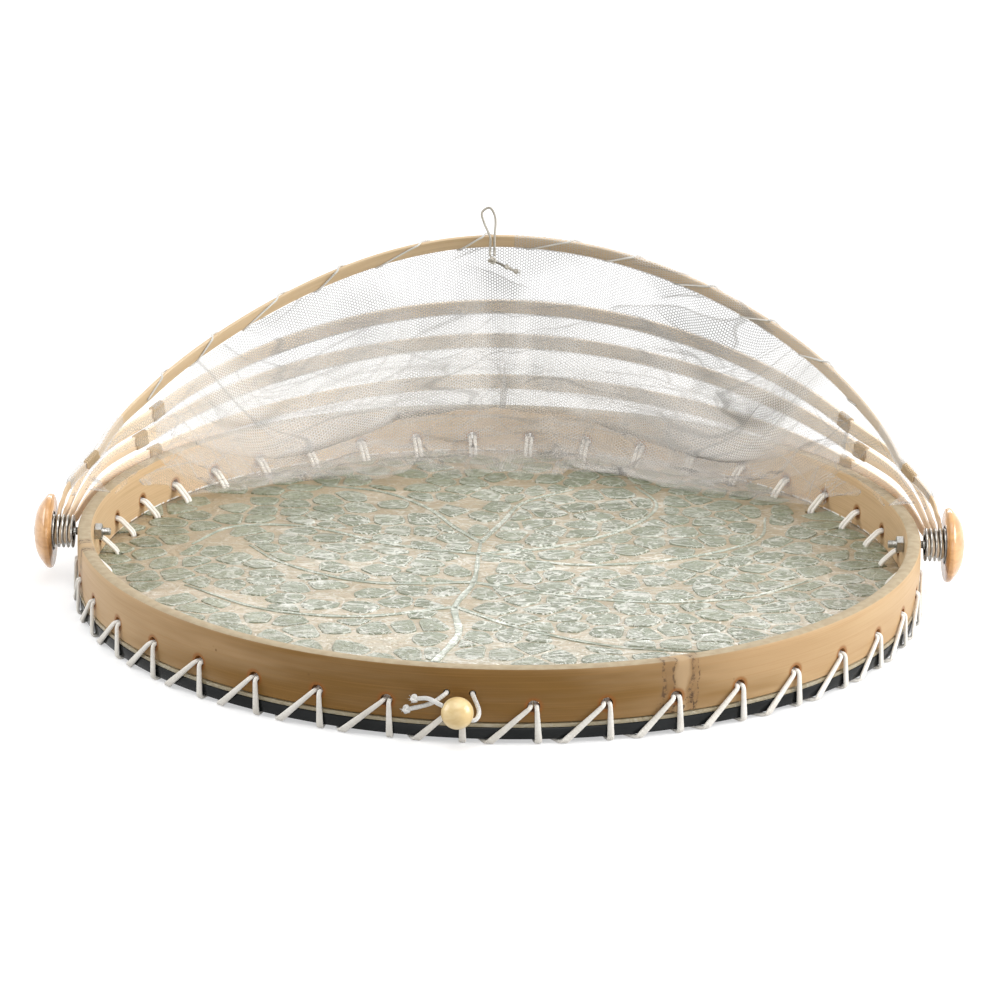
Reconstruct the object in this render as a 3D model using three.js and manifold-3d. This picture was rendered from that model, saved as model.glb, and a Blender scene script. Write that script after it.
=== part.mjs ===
// A round serving tray with a folding net cover.
// The tray is a lacquered board with a shell inlay, and a bamboo rim laced to it.
// Four bamboo hoops fan on a screw at each side and carry four panels of net.
// Millimetres, +Z up, -Y to the front. The origin is the centre of the board's underside.

import * as THREE from 'three';
import { mergeVertices } from 'three/addons/utils/BufferGeometryUtils.js';
import Module from 'manifold-3d';

const wasm = await Module();
wasm.setup();

// ---- Driving dimensions -------------------------------------------------

const SEAT_GAP = 0.3;
const CUT_OVERRUN = 2;

const RIM_RADIUS = 200;
const RIM_WALL = 6.5;
const RIM_HEIGHT = 24.2;
const RIM_EDGE_ROUND = 0.9;
const RIM_BELLY = 0.4;
const CULM_RING_RISE = 0.5;
const CULM_RING_WIDTH = 5;

const BOARD_THICKNESS = 5.1;
const BOARD_LIP = 0.8;
const BOARD_CHAMFER = 0.5;
const INLAY_THICKNESS = 1.6;
const INLAY_LIP = 0.5;

const CORD_WIDTH = 3.2;
const CORD_THICKNESS = 1.5;
const CORD_WIDTH_IN_HOLE = 1.9;
const CORD_PASS_GAP = 0.6;
const CORD_BEND = 0.8;
const LACE_HOLE_RADIUS = 3.05;
const LACE_HOLE_HEIGHT = 7.6;
const LACE_HOLE_SETBACK = 8.5;
const STITCHES = 40;
const SLANT_SHARE = 0.55;

const SCREW_RADIUS = 1.95;
const SCREW_CLEARANCE = 0.3;
const SCREW_HEAD_RADIUS = 3.6;
const SCREW_HEAD_HEIGHT = 2.2;
const SCREW_TAIL = 4;
const PIVOT_BELOW_RIM_TOP = 8.5;
const BARE_SHANK = 3.6;
const NUT_ACROSS_FLATS = 7;
const NUT_THICKNESS = 3.2;
const WASHER_RADIUS = 8;
const WASHER_THICKNESS = 0.7;
const STACK_GAP = 0.15;

const BUTTON_RADIUS = 17.8;
const BUTTON_EDGE = 3.4;
const BUTTON_DOME = 5;
const BUTTON_ROUND = 1.2;
const BUTTON_SINK_RADIUS = 4.4;
const BUTTON_SINK_DEPTH = 1.4;

const HOOP_STAND_OUT = 2.4;
const HOOP_RADIUS = RIM_RADIUS + HOOP_STAND_OUT;
const HOOP_WIDTH = 7.8;
const HOOP_THICKNESS = 2;
const HOOP_NECK_WIDTH = 4.8;
const HOOP_END_WIDTH = 9;
const HOOP_END_THICKNESS = 1.2;
const HOOP_END_DROP = 6.5;
const HOOP_END_RISE = 6;
const HOOP_NECK_RISE = 15;
const FRONT_SAG_LEFT = 13;
const FRONT_SAG_RIGHT = 6;
const INNER_SAG = 3;

// Rest angles of the hoops above the horizontal behind the screws, the back one first.
const HOOP_ANGLES = [5.9, 12.7, 18.6, 31];

const WHIPPING_CORD = 0.8;
const WHIPPING_PITCH = 1.5;
const WHIPPING_TURNS = 4;
const WHIPPING_GAP = 0.3;
const THREAD_RADIUS = 0.55;
const THREAD_TURNS = 11;

const NET_THICKNESS = 0.5;
const NET_HEM_SPREAD = 2.2;
const NET_FOLD_HEIGHT = 2;
const NET_FOLDS = 4;

const LOOP_CORD_RADIUS = 0.75;
const LOOP_OFFSET = -6;
const BEAD_RADIUS = 6.9;
const BEAD_BORE_RADIUS = 1.5;
const BEAD_CORD_RADIUS = 0.95;
const BEAD_TILT = 26;
const BEAD_HOLE_SPREAD = 5.5;
const BEAD_HOLE_RISE = 5.6;
const BEAD_HOLE_RADIUS = 2.1;
const KNOT_RADIUS = 1.7;

// ---- Sizes worked out from them -----------------------------------------

const INLAY_BASE = BOARD_THICKNESS + SEAT_GAP;
const INLAY_TOP = INLAY_BASE + INLAY_THICKNESS;
const RIM_BASE = INLAY_TOP + SEAT_GAP;
const RIM_TOP = RIM_BASE + RIM_HEIGHT;
const RIM_INNER = RIM_RADIUS - RIM_WALL;
const BOARD_RADIUS = RIM_RADIUS + BOARD_LIP;
const PIVOT_HEIGHT = RIM_TOP - PIVOT_BELOW_RIM_TOP;
const LACE_HOLE_Z = RIM_BASE + LACE_HOLE_HEIGHT;
const LACE_RING = RIM_INNER - LACE_HOLE_SETBACK;
const STACK_START = RIM_RADIUS + BARE_SHANK;
const STACK_PITCH = WASHER_THICKNESS + HOOP_END_THICKNESS + STACK_GAP + STACK_GAP;
const HOOPS = HOOP_ANGLES.length;
const STACK_END = STACK_START + HOOPS * STACK_PITCH + WASHER_THICKNESS;
const BUTTON_FACE = STACK_END + STACK_GAP;
const BUTTON_TOP = BUTTON_FACE + BUTTON_EDGE + BUTTON_DOME;
const HEAD_SEAT = BUTTON_TOP - BUTTON_SINK_DEPTH + STACK_GAP;

// ---- Materials ----------------------------------------------------------

function material(color, roughness, metalness = 0) {
  return new THREE.MeshStandardMaterial({ color, roughness, metalness });
}

const materials = {
  lacquer: () => material(0x14171a, 0.18),
  inlay: () => material(0xb9bfae, 0.3),
  bamboo: () => material(0xc49a63, 0.5),
  hoopBamboo: () => material(0xcfa877, 0.55),
  cord: () => material(0xd9d7cd, 0.85),
  whipping: () => material(0xb5a078, 0.9),
  steel: () => material(0x8f8d88, 0.35, 1),
  button: () => material(0xd99c5c, 0.3),
  bead: () => material(0xe0c38c, 0.4),
  net: () => material(0xf2f2f0, 0.8),
};

// ---- Mesh helpers -------------------------------------------------------

const FULL_TURN = 2 * Math.PI;
const radians = THREE.MathUtils.degToRad;
const lerp = THREE.MathUtils.lerp;

function smooth(value, low, high) {
  return THREE.MathUtils.smoothstep(value, low, high);
}

function polar(radius, angle, z) {
  return new THREE.Vector3(radius * Math.cos(angle), radius * Math.sin(angle), z);
}

function closedGeometry(points, triangles) {
  const geometry = new THREE.BufferGeometry();
  const flat = points.flatMap((p) => [p.x, p.y, p.z]);
  geometry.setAttribute('position', new THREE.Float32BufferAttribute(flat, 3));
  let volume = 0;
  for (const [a, b, c] of triangles) {
    volume += points[a].dot(new THREE.Vector3().crossVectors(points[b], points[c]));
  }
  const outward = volume > 0 ? triangles : triangles.map(([a, b, c]) => [a, c, b]);
  geometry.setIndex(outward.flat());
  return geometry;
}

// Joins rings of equal length into a skin. An open skin gets a flat cap at each end.
function loft(rings, loops = false) {
  const count = rings[0].length;
  const triangles = [];
  const spans = loops ? rings.length : rings.length - 1;
  for (let i = 0; i < spans; i += 1) {
    const here = i * count;
    const next = ((i + 1) % rings.length) * count;
    for (let j = 0; j < count; j += 1) {
      const k = (j + 1) % count;
      triangles.push([here + j, here + k, next + k], [here + j, next + k, next + j]);
    }
  }
  if (!loops) {
    const last = (rings.length - 1) * count;
    for (let j = 1; j < count - 1; j += 1) {
      triangles.push([0, j + 1, j], [last, last + j, last + j + 1]);
    }
  }
  return closedGeometry(rings.flat(), triangles);
}

// A disc, pin or bored ring along +X, from a profile of [distance along X, radius].
function turnedAlongX(profile, sides) {
  const points = profile.map(([along, radius]) => new THREE.Vector2(radius, along));
  const geometry = new THREE.LatheGeometry(points, sides);
  geometry.rotateZ(-Math.PI / 2);
  return weld(geometry);
}

function weld(source) {
  const bare = source.clone();
  bare.deleteAttribute('normal');
  bare.deleteAttribute('uv');
  const merged = mergeVertices(bare);
  const position = merged.getAttribute('position');
  const points = [];
  for (let i = 0; i < position.count; i += 1) {
    points.push(new THREE.Vector3().fromBufferAttribute(position, i));
  }
  const index = Array.from(merged.getIndex().array);
  const triangles = [];
  for (let i = 0; i < index.length; i += 3) {
    const [a, b, c] = index.slice(i, i + 3);
    if (a !== b && b !== c && c !== a) triangles.push([a, b, c]);
  }
  return closedGeometry(points, triangles);
}

function solid(geometry) {
  const position = geometry.getAttribute('position');
  return new wasm.Manifold(new wasm.Mesh({
    numProp: 3,
    vertProperties: Float32Array.from(position.array),
    triVerts: Uint32Array.from(geometry.getIndex().array),
  }));
}

function geometryOf(body) {
  const mesh = body.getMesh();
  const geometry = new THREE.BufferGeometry();
  geometry.setAttribute('position', new THREE.Float32BufferAttribute(mesh.vertProperties, 3));
  geometry.setIndex(Array.from(mesh.triVerts));
  return geometry;
}

function cut(geometry, tools) {
  let body = solid(geometry);
  for (const tool of tools) {
    body = body.subtract(solid(tool));
  }
  return geometryOf(body);
}

function join(pieces) {
  let body = solid(pieces[0]);
  for (const piece of pieces.slice(1)) {
    body = body.add(solid(piece));
  }
  return geometryOf(body);
}

function add(group, name, geometry, look) {
  geometry.computeVertexNormals();
  const mesh = new THREE.Mesh(geometry, look());
  mesh.name = name;
  group.add(mesh);
}

// ---- Tray ---------------------------------------------------------------

const TRAY_SIDES = 64;
const CULM_ANGLES = [-67, 193];

function disc(radius, base, top, chamfer) {
  const edge = chamfer > 0
    ? [
      [radius - chamfer, base],
      [radius, base + chamfer],
      [radius, top - chamfer],
      [radius - chamfer, top],
    ]
    : [[radius, base], [radius, top]];
  const profile = [[0, base], ...edge, [0, top]].map(([r, z]) => new THREE.Vector2(r, z));
  const geometry = new THREE.LatheGeometry(profile, TRAY_SIDES);
  geometry.rotateX(Math.PI / 2);
  return weld(geometry);
}

function stitchAngle(index) {
  const pitch = FULL_TURN / STITCHES;
  return -Math.PI / 2 - (index + 0.5) * pitch;
}

function boardHoles(base, top) {
  const holes = [];
  for (let k = 0; k < STITCHES; k += 1) {
    const angle = stitchAngle(k);
    const depth = top - base + 2 * CUT_OVERRUN;
    const hole = new THREE.CylinderGeometry(LACE_HOLE_RADIUS, LACE_HOLE_RADIUS, depth, 6);
    hole.rotateX(Math.PI / 2);
    hole.rotateZ(angle);
    const centre = polar(LACE_RING, angle, (base + top) / 2);
    hole.translate(centre.x, centre.y, centre.z);
    holes.push(weld(hole));
  }
  return holes;
}

function rimSection(angle) {
  let swell = RIM_BELLY;
  const halfRing = CULM_RING_WIDTH / RIM_RADIUS / 2;
  for (const culm of CULM_ANGLES) {
    const away = Math.abs(Math.atan2(
      Math.sin(angle - radians(culm)),
      Math.cos(angle - radians(culm)),
    ));
    swell += CULM_RING_RISE * (1 - smooth(away, 0, 2 * halfRing));
  }
  const outer = RIM_RADIUS;
  const edge = RIM_EDGE_ROUND;
  return [
    [RIM_INNER, RIM_BASE],
    [outer, RIM_BASE],
    [outer + swell, (RIM_BASE + RIM_TOP) / 2],
    [outer, RIM_TOP - edge],
    [outer - edge, RIM_TOP],
    [RIM_INNER + edge, RIM_TOP],
    [RIM_INNER, RIM_TOP - edge],
  ].map(([radius, z]) => polar(radius, angle, z));
}

function rimAngles() {
  const angles = [];
  for (let i = 0; i < TRAY_SIDES; i += 1) {
    angles.push((i / TRAY_SIDES) * FULL_TURN);
  }
  const halfRing = CULM_RING_WIDTH / RIM_RADIUS / 2;
  for (const culm of CULM_ANGLES) {
    const centre = (radians(culm) + FULL_TURN) % FULL_TURN;
    angles.push(centre - halfRing, centre, centre + halfRing);
  }
  return angles.sort((a, b) => a - b);
}

function radialDrill(radius, angle, z, sides) {
  const length = RIM_WALL + 2 * RIM_BELLY + 2 * CUT_OVERRUN;
  const drill = new THREE.CylinderGeometry(radius, radius, length, sides);
  drill.rotateZ(angle - Math.PI / 2);
  const centre = polar(RIM_RADIUS - RIM_WALL / 2, angle, z);
  drill.translate(centre.x, centre.y, centre.z);
  return weld(drill);
}

function beadHoleAngle(side) {
  return stitchAngle(0) - (side * BEAD_HOLE_SPREAD) / RIM_RADIUS;
}

function rim() {
  const blank = loft(rimAngles().map(rimSection), true);
  const drills = [];
  for (let k = 0; k < STITCHES; k += 1) {
    drills.push(radialDrill(LACE_HOLE_RADIUS, stitchAngle(k), LACE_HOLE_Z, 6));
  }
  for (const angle of [0, Math.PI]) {
    drills.push(radialDrill(SCREW_RADIUS + SCREW_CLEARANCE, angle, PIVOT_HEIGHT, 12));
  }
  for (const side of [-1, 1]) {
    const height = LACE_HOLE_Z + BEAD_HOLE_RISE;
    drills.push(radialDrill(BEAD_HOLE_RADIUS, beadHoleAngle(side), height, 8));
  }
  return cut(blank, drills);
}

// ---- Lacing -------------------------------------------------------------
// One flat cord. It passes twice through each pair of holes: up through the board,
// across the corner, out through the rim and down. The first pass drops straight to the
// board's edge and comes back underneath, and the second slants on to the next pair.

function laceKnots() {
  const lift = CORD_THICKNESS / 2 + SEAT_GAP;
  const inHole = CORD_WIDTH_IN_HOLE;
  const outside = CORD_WIDTH;
  const passSpread = (CORD_WIDTH_IN_HOLE + CORD_PASS_GAP) / 2;
  const straightSpread = (CORD_WIDTH + CORD_PASS_GAP) / 2;
  const pitch = FULL_TURN / STITCHES;
  const knots = [];
  for (let k = 0; k < STITCHES; k += 1) {
    for (const side of [-1, 1]) {
      const at = (radius, along, z, width, share = 0) => {
        const angle = stitchAngle(k) - along / radius - share * pitch;
        knots.push({ point: polar(radius, angle, z), width });
      };
      const slant = side > 0 ? SLANT_SHARE : 0;
      const edge = BOARD_RADIUS + lift + SEAT_GAP;
      const spread = side * passSpread;
      const outer = side > 0 ? spread : side * straightSpread;
      at(LACE_RING, spread, -lift, inHole);
      at(LACE_RING, spread, INLAY_TOP + lift, inHole);
      at(RIM_INNER - lift - SEAT_GAP, spread, LACE_HOLE_Z, inHole);
      at(RIM_RADIUS + RIM_BELLY + lift, spread, LACE_HOLE_Z, inHole);
      at(edge, outer, -lift, outside, slant);
      knots[knots.length - 1].eased = true;
    }
  }
  return knots;
}

// The sharp turn under the board's edge becomes two milder ones.
function easeKnots(knots) {
  const eased = [];
  const count = knots.length;
  for (let i = 0; i < count; i += 1) {
    const { point, width, eased: milder } = knots[i];
    const before = knots[(i + count - 1) % count];
    const after = knots[(i + 1) % count];
    const inward = point.clone().sub(before.point).normalize();
    const outward = after.point.clone().sub(point).normalize();
    if (milder) {
      eased.push({ point: point.clone().addScaledVector(inward, -CORD_BEND), width });
      eased.push({ point: point.clone().addScaledVector(outward, CORD_BEND), width });
    } else {
      eased.push({ point: point.clone(), width });
    }
  }
  return eased;
}

// The flat of the cord faces away from the tray wherever it runs.
function laceFrames(knots) {
  const count = knots.length;
  return knots.map(({ point, width }, i) => {
    const before = knots[(i + count - 1) % count].point;
    const after = knots[(i + 1) % count].point;
    const inward = point.clone().sub(before).normalize();
    const outward = after.clone().sub(point).normalize();
    const along = inward.clone().add(outward).normalize();
    const radial = new THREE.Vector3(point.x, point.y, 0).normalize();
    const outwardPart = along.dot(radial);
    const face = radial.clone().multiplyScalar(-along.z);
    face.z = outwardPart;
    const across = new THREE.Vector3().crossVectors(along, face).normalize();
    face.crossVectors(across, along).normalize();
    const stretch = 1 / Math.max(along.dot(outward), Math.SQRT1_2);
    return { point, across, face, width, thickness: CORD_THICKNESS * stretch };
  });
}

// The tray stands on the cord, which is pressed flat under the board.
function laceRing({ point, across, face, width, thickness }) {
  const floor = -SEAT_GAP - CORD_THICKNESS;
  return [[-1, -1], [1, -1], [1, 1], [-1, 1]].map(([u, v]) => {
    const corner = point.clone()
      .addScaledVector(across, (u * width) / 2)
      .addScaledVector(face, (v * thickness) / 2);
    corner.z = Math.max(corner.z, floor);
    return corner;
  });
}

function lacing() {
  const frames = laceFrames(easeKnots(laceKnots()));
  printLeastGap('lacing', frames.map(laceRing), frames.length / STITCHES);
  return loft(frames.map(laceRing), true);
}

// Measures a tube's least distance to itself on points spread over its skin, between
// stretches that lie further apart along the tube than they could touch by bending.
const GAP_STEP = 0.5;
const GAP_APART = 9;

function printLeastGap(name, rings, period) {
  const samples = [];
  let travelled = 0;
  const spans = Math.min(rings.length - 1, Math.ceil(2 * period));
  for (let i = 0; i < spans; i += 1) {
    const here = rings[i];
    const next = rings[i + 1];
    const length = here[0].distanceTo(next[0]);
    const steps = Math.max(1, Math.ceil(length / GAP_STEP));
    for (let s = 0; s < steps; s += 1) {
      const share = s / steps;
      const ring = here.map((point, j) => point.clone().lerp(next[j], share));
      ring.forEach((point, j) => {
        const onward = ring[(j + 1) % ring.length];
        const parts = Math.max(1, Math.ceil(point.distanceTo(onward) / GAP_STEP));
        for (let t = 0; t < parts; t += 1) {
          samples.push({ at: travelled + share * length, point: point.clone().lerp(onward, t / parts) });
        }
      });
    }
    travelled += length;
  }
  let least = Infinity;
  for (let i = 0; i < samples.length; i += 1) {
    for (let j = i + 1; j < samples.length; j += 1) {
      if (samples[j].at - samples[i].at > GAP_APART) {
        least = Math.min(least, samples[i].point.distanceToSquared(samples[j].point));
      }
    }
  }
  console.log(`${name}: least gap to itself ${Math.sqrt(least).toFixed(2)} mm`);
}

// ---- Screws, nuts, washers and buttons ----------------------------------

function screw() {
  const inner = RIM_INNER - SEAT_GAP - NUT_THICKNESS - SCREW_TAIL;
  const crown = SCREW_HEAD_HEIGHT / 3;
  const shoulder = HEAD_SEAT + SCREW_HEAD_HEIGHT - crown;
  return turnedAlongX([
    [inner, 0],
    [inner, SCREW_RADIUS * 0.8],
    [inner + SCREW_RADIUS * 0.2, SCREW_RADIUS],
    [HEAD_SEAT, SCREW_RADIUS],
    [HEAD_SEAT, SCREW_HEAD_RADIUS],
    [shoulder, SCREW_HEAD_RADIUS],
    [shoulder + crown * 0.7, SCREW_HEAD_RADIUS * 0.75],
    [shoulder + crown, 0],
  ], 12);
}

function nut() {
  const outer = NUT_ACROSS_FLATS / 2 / Math.cos(Math.PI / 6);
  const end = RIM_INNER - SEAT_GAP;
  const start = end - NUT_THICKNESS;
  const blank = turnedAlongX([[start, 0], [start, outer], [end, outer], [end, 0]], 6);
  const bore = SCREW_RADIUS + SCREW_CLEARANCE;
  const tool = turnedAlongX([
    [start - CUT_OVERRUN, 0],
    [start - CUT_OVERRUN, bore],
    [end + CUT_OVERRUN, bore],
    [end + CUT_OVERRUN, 0],
  ], 12);
  return cut(blank, [tool]);
}

function washer(index) {
  const start = STACK_START + index * STACK_PITCH;
  const end = start + WASHER_THICKNESS;
  const bore = SCREW_RADIUS + SCREW_CLEARANCE;
  return turnedAlongX([
    [start, bore],
    [start, WASHER_RADIUS],
    [end, WASHER_RADIUS],
    [end, bore],
    [start, bore],
  ], 12);
}

function button() {
  const bore = SCREW_RADIUS + SCREW_CLEARANCE;
  const face = BUTTON_FACE;
  const profile = [
    [face, bore],
    [face, BUTTON_RADIUS - BUTTON_ROUND],
    [face + BUTTON_ROUND, BUTTON_RADIUS],
    [face + BUTTON_EDGE - BUTTON_ROUND, BUTTON_RADIUS],
  ];
  const arcs = 4;
  const rise = BUTTON_TOP - face - BUTTON_EDGE + BUTTON_ROUND;
  for (let i = 1; i <= arcs; i += 1) {
    const radius = lerp(BUTTON_RADIUS, BUTTON_SINK_RADIUS, i / arcs);
    const share = 1 - ((radius - BUTTON_SINK_RADIUS) / (BUTTON_RADIUS - BUTTON_SINK_RADIUS)) ** 2;
    profile.push([face + BUTTON_EDGE - BUTTON_ROUND + rise * share, radius]);
  }
  profile.push([BUTTON_TOP - BUTTON_SINK_DEPTH, BUTTON_SINK_RADIUS]);
  profile.push([BUTTON_TOP - BUTTON_SINK_DEPTH, bore]);
  profile.push([face, bore]);
  return turnedAlongX(profile, 20);
}

function addPivots(tray) {
  for (const [side, turn] of [['right', 0], ['left', Math.PI]]) {
    const stack = new THREE.Group();
    stack.position.z = PIVOT_HEIGHT;
    stack.rotation.z = turn;
    add(stack, `pivot_screw_${side}`, screw(), materials.steel);
    add(stack, `pivot_nut_${side}`, nut(), materials.steel);
    for (let i = 0; i <= HOOPS; i += 1) {
      add(stack, `washer_${side}_${i + 1}`, washer(i), materials.steel);
    }
    add(stack, `button_${side}`, button(), materials.button);
    tray.add(stack);
  }
}

// ---- Hoops --------------------------------------------------------------
// Each hoop is drawn flat, in its own plane: X across, Y out from the screws, and Z
// towards the front. Hoop 0 is the back one, and sits nearest the rim on the screws.

const FRONT = HOOPS - 1;
const END_STEPS = 8;
const BOW_STEPS = 14;

// How far out from the screws a hoop merges with the full radius, widens, starts to sag and
// starts its bow. The angle there follows from its radius.
const MERGE_OUTS = [55.8, 104.2];
const FRONT_MERGE_OUTS = [21.2, 55.8];
const WIDEN_OUTS = [42.1, 101.2];
const SAG_OUTS = [38.6, 101.2];
const BOW_OUT = 101.2;

function angleAt(out) {
  return Math.asin(out / HOOP_RADIUS);
}

function endDistance(hoop) {
  const start = STACK_START + WASHER_THICKNESS + STACK_GAP;
  return start + hoop * STACK_PITCH + HOOP_END_THICKNESS / 2;
}

function hoopSag(hoop, angle) {
  const rightSide = Math.cos(angle) > 0;
  const frontSag = rightSide ? FRONT_SAG_RIGHT : FRONT_SAG_LEFT;
  const depth = hoop === FRONT ? frontSag : INNER_SAG;
  const fromEnd = Math.min(angle, Math.PI - angle);
  const [start, end] = SAG_OUTS.map(angleAt);
  return depth * Math.sin(2 * angle) ** 2 * smooth(fromEnd, start, end);
}

// The middle of the strip at an angle round the hoop, 0 being the right screw.
function hoopPoint(hoop, angle, inward = 0) {
  const fromEnd = Math.min(angle, Math.PI - angle);
  const [start, end] = (hoop === FRONT ? FRONT_MERGE_OUTS : MERGE_OUTS).map(angleAt);
  const merged = smooth(fromEnd, start, end);
  const radius = lerp(endDistance(hoop), HOOP_RADIUS, merged) - inward;
  return polar(radius, angle, -hoopSag(hoop, angle));
}

// Square to the strip's broad face, away from the screws' axis.
function hoopOutward(hoop, angle) {
  const step = radians(0.5);
  const along = hoopPoint(hoop, angle + step).sub(hoopPoint(hoop, angle - step));
  return new THREE.Vector3(along.y, -along.x, 0).normalize();
}

function stripWidth(angle) {
  const fromEnd = Math.min(angle, Math.PI - angle);
  const [start, end] = WIDEN_OUTS.map(angleAt);
  return lerp(HOOP_NECK_WIDTH, HOOP_WIDTH, smooth(fromEnd, start, end));
}

function stripThickness(angle) {
  const fromEnd = Math.min(angle, Math.PI - angle);
  const [start, end] = MERGE_OUTS.map(angleAt);
  return lerp(HOOP_END_THICKNESS, HOOP_THICKNESS, smooth(fromEnd, start, end));
}

// A bamboo strip is flat inside and slightly crowned outside.
function stripRing(centre, outward, width, thickness) {
  const across = new THREE.Vector3(0, 0, 1);
  return [
    [-1, -1],
    [1, -1],
    [1, 0.5],
    [0.6, 1],
    [-0.6, 1],
    [-1, 0.5],
  ].map(([u, v]) => (
    centre.clone()
      .addScaledVector(across, (u * width) / 2)
      .addScaledVector(outward, (v * thickness) / 2)
  ));
}

function hoopEndRings(hoop, side) {
  const x = side * endDistance(hoop);
  const outward = new THREE.Vector3(side, 0, 0);
  return [
    [-HOOP_END_DROP, HOOP_END_WIDTH / 2],
    [-HOOP_END_DROP * 0.6, HOOP_END_WIDTH],
    [HOOP_END_RISE, HOOP_END_WIDTH],
    [HOOP_NECK_RISE, HOOP_NECK_WIDTH],
  ].map(([out, width]) => (
    stripRing(new THREE.Vector3(x, out, 0), outward, width, HOOP_END_THICKNESS)
  ));
}

function spaced(from, to, steps) {
  return Array.from({ length: steps }, (_, i) => lerp(from, to, i / steps));
}

function hoopRings(hoop) {
  const rings = hoopEndRings(hoop, 1);
  const first = Math.asin(HOOP_NECK_RISE / endDistance(hoop)) * 1.3;
  const bow = angleAt(BOW_OUT);
  const angles = [
    ...spaced(first, bow, END_STEPS),
    ...spaced(bow, Math.PI - bow, BOW_STEPS),
    ...spaced(Math.PI - bow, Math.PI - first, END_STEPS),
    Math.PI - first,
  ];
  for (const angle of angles) {
    const width = stripWidth(angle);
    const outward = hoopOutward(hoop, angle);
    rings.push(stripRing(hoopPoint(hoop, angle), outward, width, stripThickness(angle)));
  }
  return [...rings, ...hoopEndRings(hoop, -1).reverse()];
}

function hoopStrip(hoop) {
  const reach = endDistance(hoop) + HOOP_END_THICKNESS + CUT_OVERRUN;
  const bore = SCREW_RADIUS + SCREW_CLEARANCE;
  const near = reach - 2 * HOOP_END_THICKNESS - 2 * CUT_OVERRUN;
  const drill = turnedAlongX([[near, 0], [near, bore], [reach, bore], [reach, 0]], 12);
  const farDrill = drill.clone().rotateZ(Math.PI);
  return cut(loft(hoopRings(hoop)), [drill, farDrill]);
}

// A cord wound round a hoop's strip: one unbroken tube that stands off by its own
// radius and the seat gap. It bends at the strip's four corners.
const CORNERS = 4;

function windRound(hoop, start, end, turns, radius, clearance) {
  const steps = turns * CORNERS;
  const centres = [];
  for (let i = 0; i <= steps; i += 1) {
    const angle = lerp(start, end, i / steps);
    const middle = hoopPoint(hoop, angle);
    const outward = hoopOutward(hoop, angle);
    const lift = radius + clearance;
    const halfWidth = stripWidth(angle) / 2 + lift;
    const halfThickness = stripThickness(angle) / 2 + lift;
    const turn = ((i + 0.5) / CORNERS) * FULL_TURN;
    const u = Math.cos(turn);
    const v = Math.sin(turn);
    const round = Math.max(Math.abs(u), Math.abs(v));
    middle.addScaledVector(outward, (halfThickness * v) / round);
    middle.z += (halfWidth * u) / round;
    centres.push(middle);
  }
  return tubeRings(centres, radius, CORNERS);
}

function tubeRings(centres, radius, sides) {
  const last = centres.length - 1;
  let side = null;
  return centres.map((centre, i) => {
    const along = centres[Math.min(i + 1, last)].clone()
      .sub(centres[Math.max(i - 1, 0)])
      .normalize();
    if (!side) side = new THREE.Vector3(along.y, along.z, along.x);
    side.addScaledVector(along, -side.dot(along)).normalize();
    const up = new THREE.Vector3().crossVectors(along, side);
    const ring = [];
    for (let j = 0; j < sides; j += 1) {
      const turn = (j / sides) * FULL_TURN;
      ring.push(centre.clone()
        .addScaledVector(side, radius * Math.cos(turn))
        .addScaledVector(up, radius * Math.sin(turn)));
    }
    return ring;
  });
}

const WHIPPING_OUTS = [101.2, 91.9, 104.2, 45.5];

function whipping(hoop, side) {
  const fromEnd = angleAt(WHIPPING_OUTS[hoop]);
  const centre = side > 0 ? fromEnd : Math.PI - fromEnd;
  const half = (side * WHIPPING_TURNS * WHIPPING_PITCH) / HOOP_RADIUS / 2;
  const radius = WHIPPING_CORD / 2;
  const rings = windRound(
    hoop,
    centre - half,
    centre + half,
    WHIPPING_TURNS,
    radius,
    WHIPPING_GAP,
  );
  if (hoop === FRONT) printLeastGap('whipping', rings, 2 * CORNERS);
  return loft(rings);
}

const THREAD_MARGIN = 52.5;
const THREAD_SHIFT = 3;

function stitching() {
  const margin = angleAt(WHIPPING_OUTS[FRONT] + THREAD_MARGIN);
  const clearance = NET_THICKNESS + 2 * SEAT_GAP;
  const start = margin + radians(THREAD_SHIFT);
  const end = Math.PI - margin + radians(THREAD_SHIFT);
  const rings = windRound(FRONT, start, end, THREAD_TURNS, THREAD_RADIUS, clearance);
  printLeastGap('stitching', rings, 2 * CORNERS);
  return loft(rings);
}

// ---- Net ----------------------------------------------------------------
// A panel hangs in a fold between two hoops. Its section is drawn at the hoop's middle,
// in shares of the hoop radius out from the screws and up, and shrinks towards the ends.

const FOLD_SET_INS = [42.5, 37.4, 42.5, 51.6];
const FOLD_UP_SHARES = [0, -0.03, 0.02, 0.07];
const FOLD_REST = 1.6;
const NET_END_OUTS = [0, 113.2, 113.2, 110.2];
const NET_OVER_RIM = 6;
const LEAST_MITRE_SHARE = 0.25;
const LEAST_FOLD_SHARES = [0.8, 0, 0, 0];
const NET_COLUMNS = 20;
const LEG_ROWS = 3;
const BACK_HEM_DROP = 3.6;
const HEM_GAP_SHARE = 0.0016;
const HEM_LIFT = HEM_GAP_SHARE * HOOP_RADIUS + NET_THICKNESS;
const SEWN_HEM_LIFT = NET_THICKNESS + 3 * SEAT_GAP + 2 * THREAD_RADIUS + NET_THICKNESS / 2;

// Where a hoop's hem is, in the plane of its middle: out and up from the screws.
function hemSection(hoop, forward) {
  const angle = radians(HOOP_ANGLES[hoop]);
  const lift = hoop === FRONT ? SEWN_HEM_LIFT : HEM_LIFT;
  const inner = HOOP_RADIUS - HOOP_THICKNESS / 2 - lift;
  const away = forward * NET_HEM_SPREAD;
  return new THREE.Vector2(
    inner * Math.cos(angle) - away * Math.sin(angle),
    inner * Math.sin(angle) + away * Math.cos(angle),
  );
}

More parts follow.
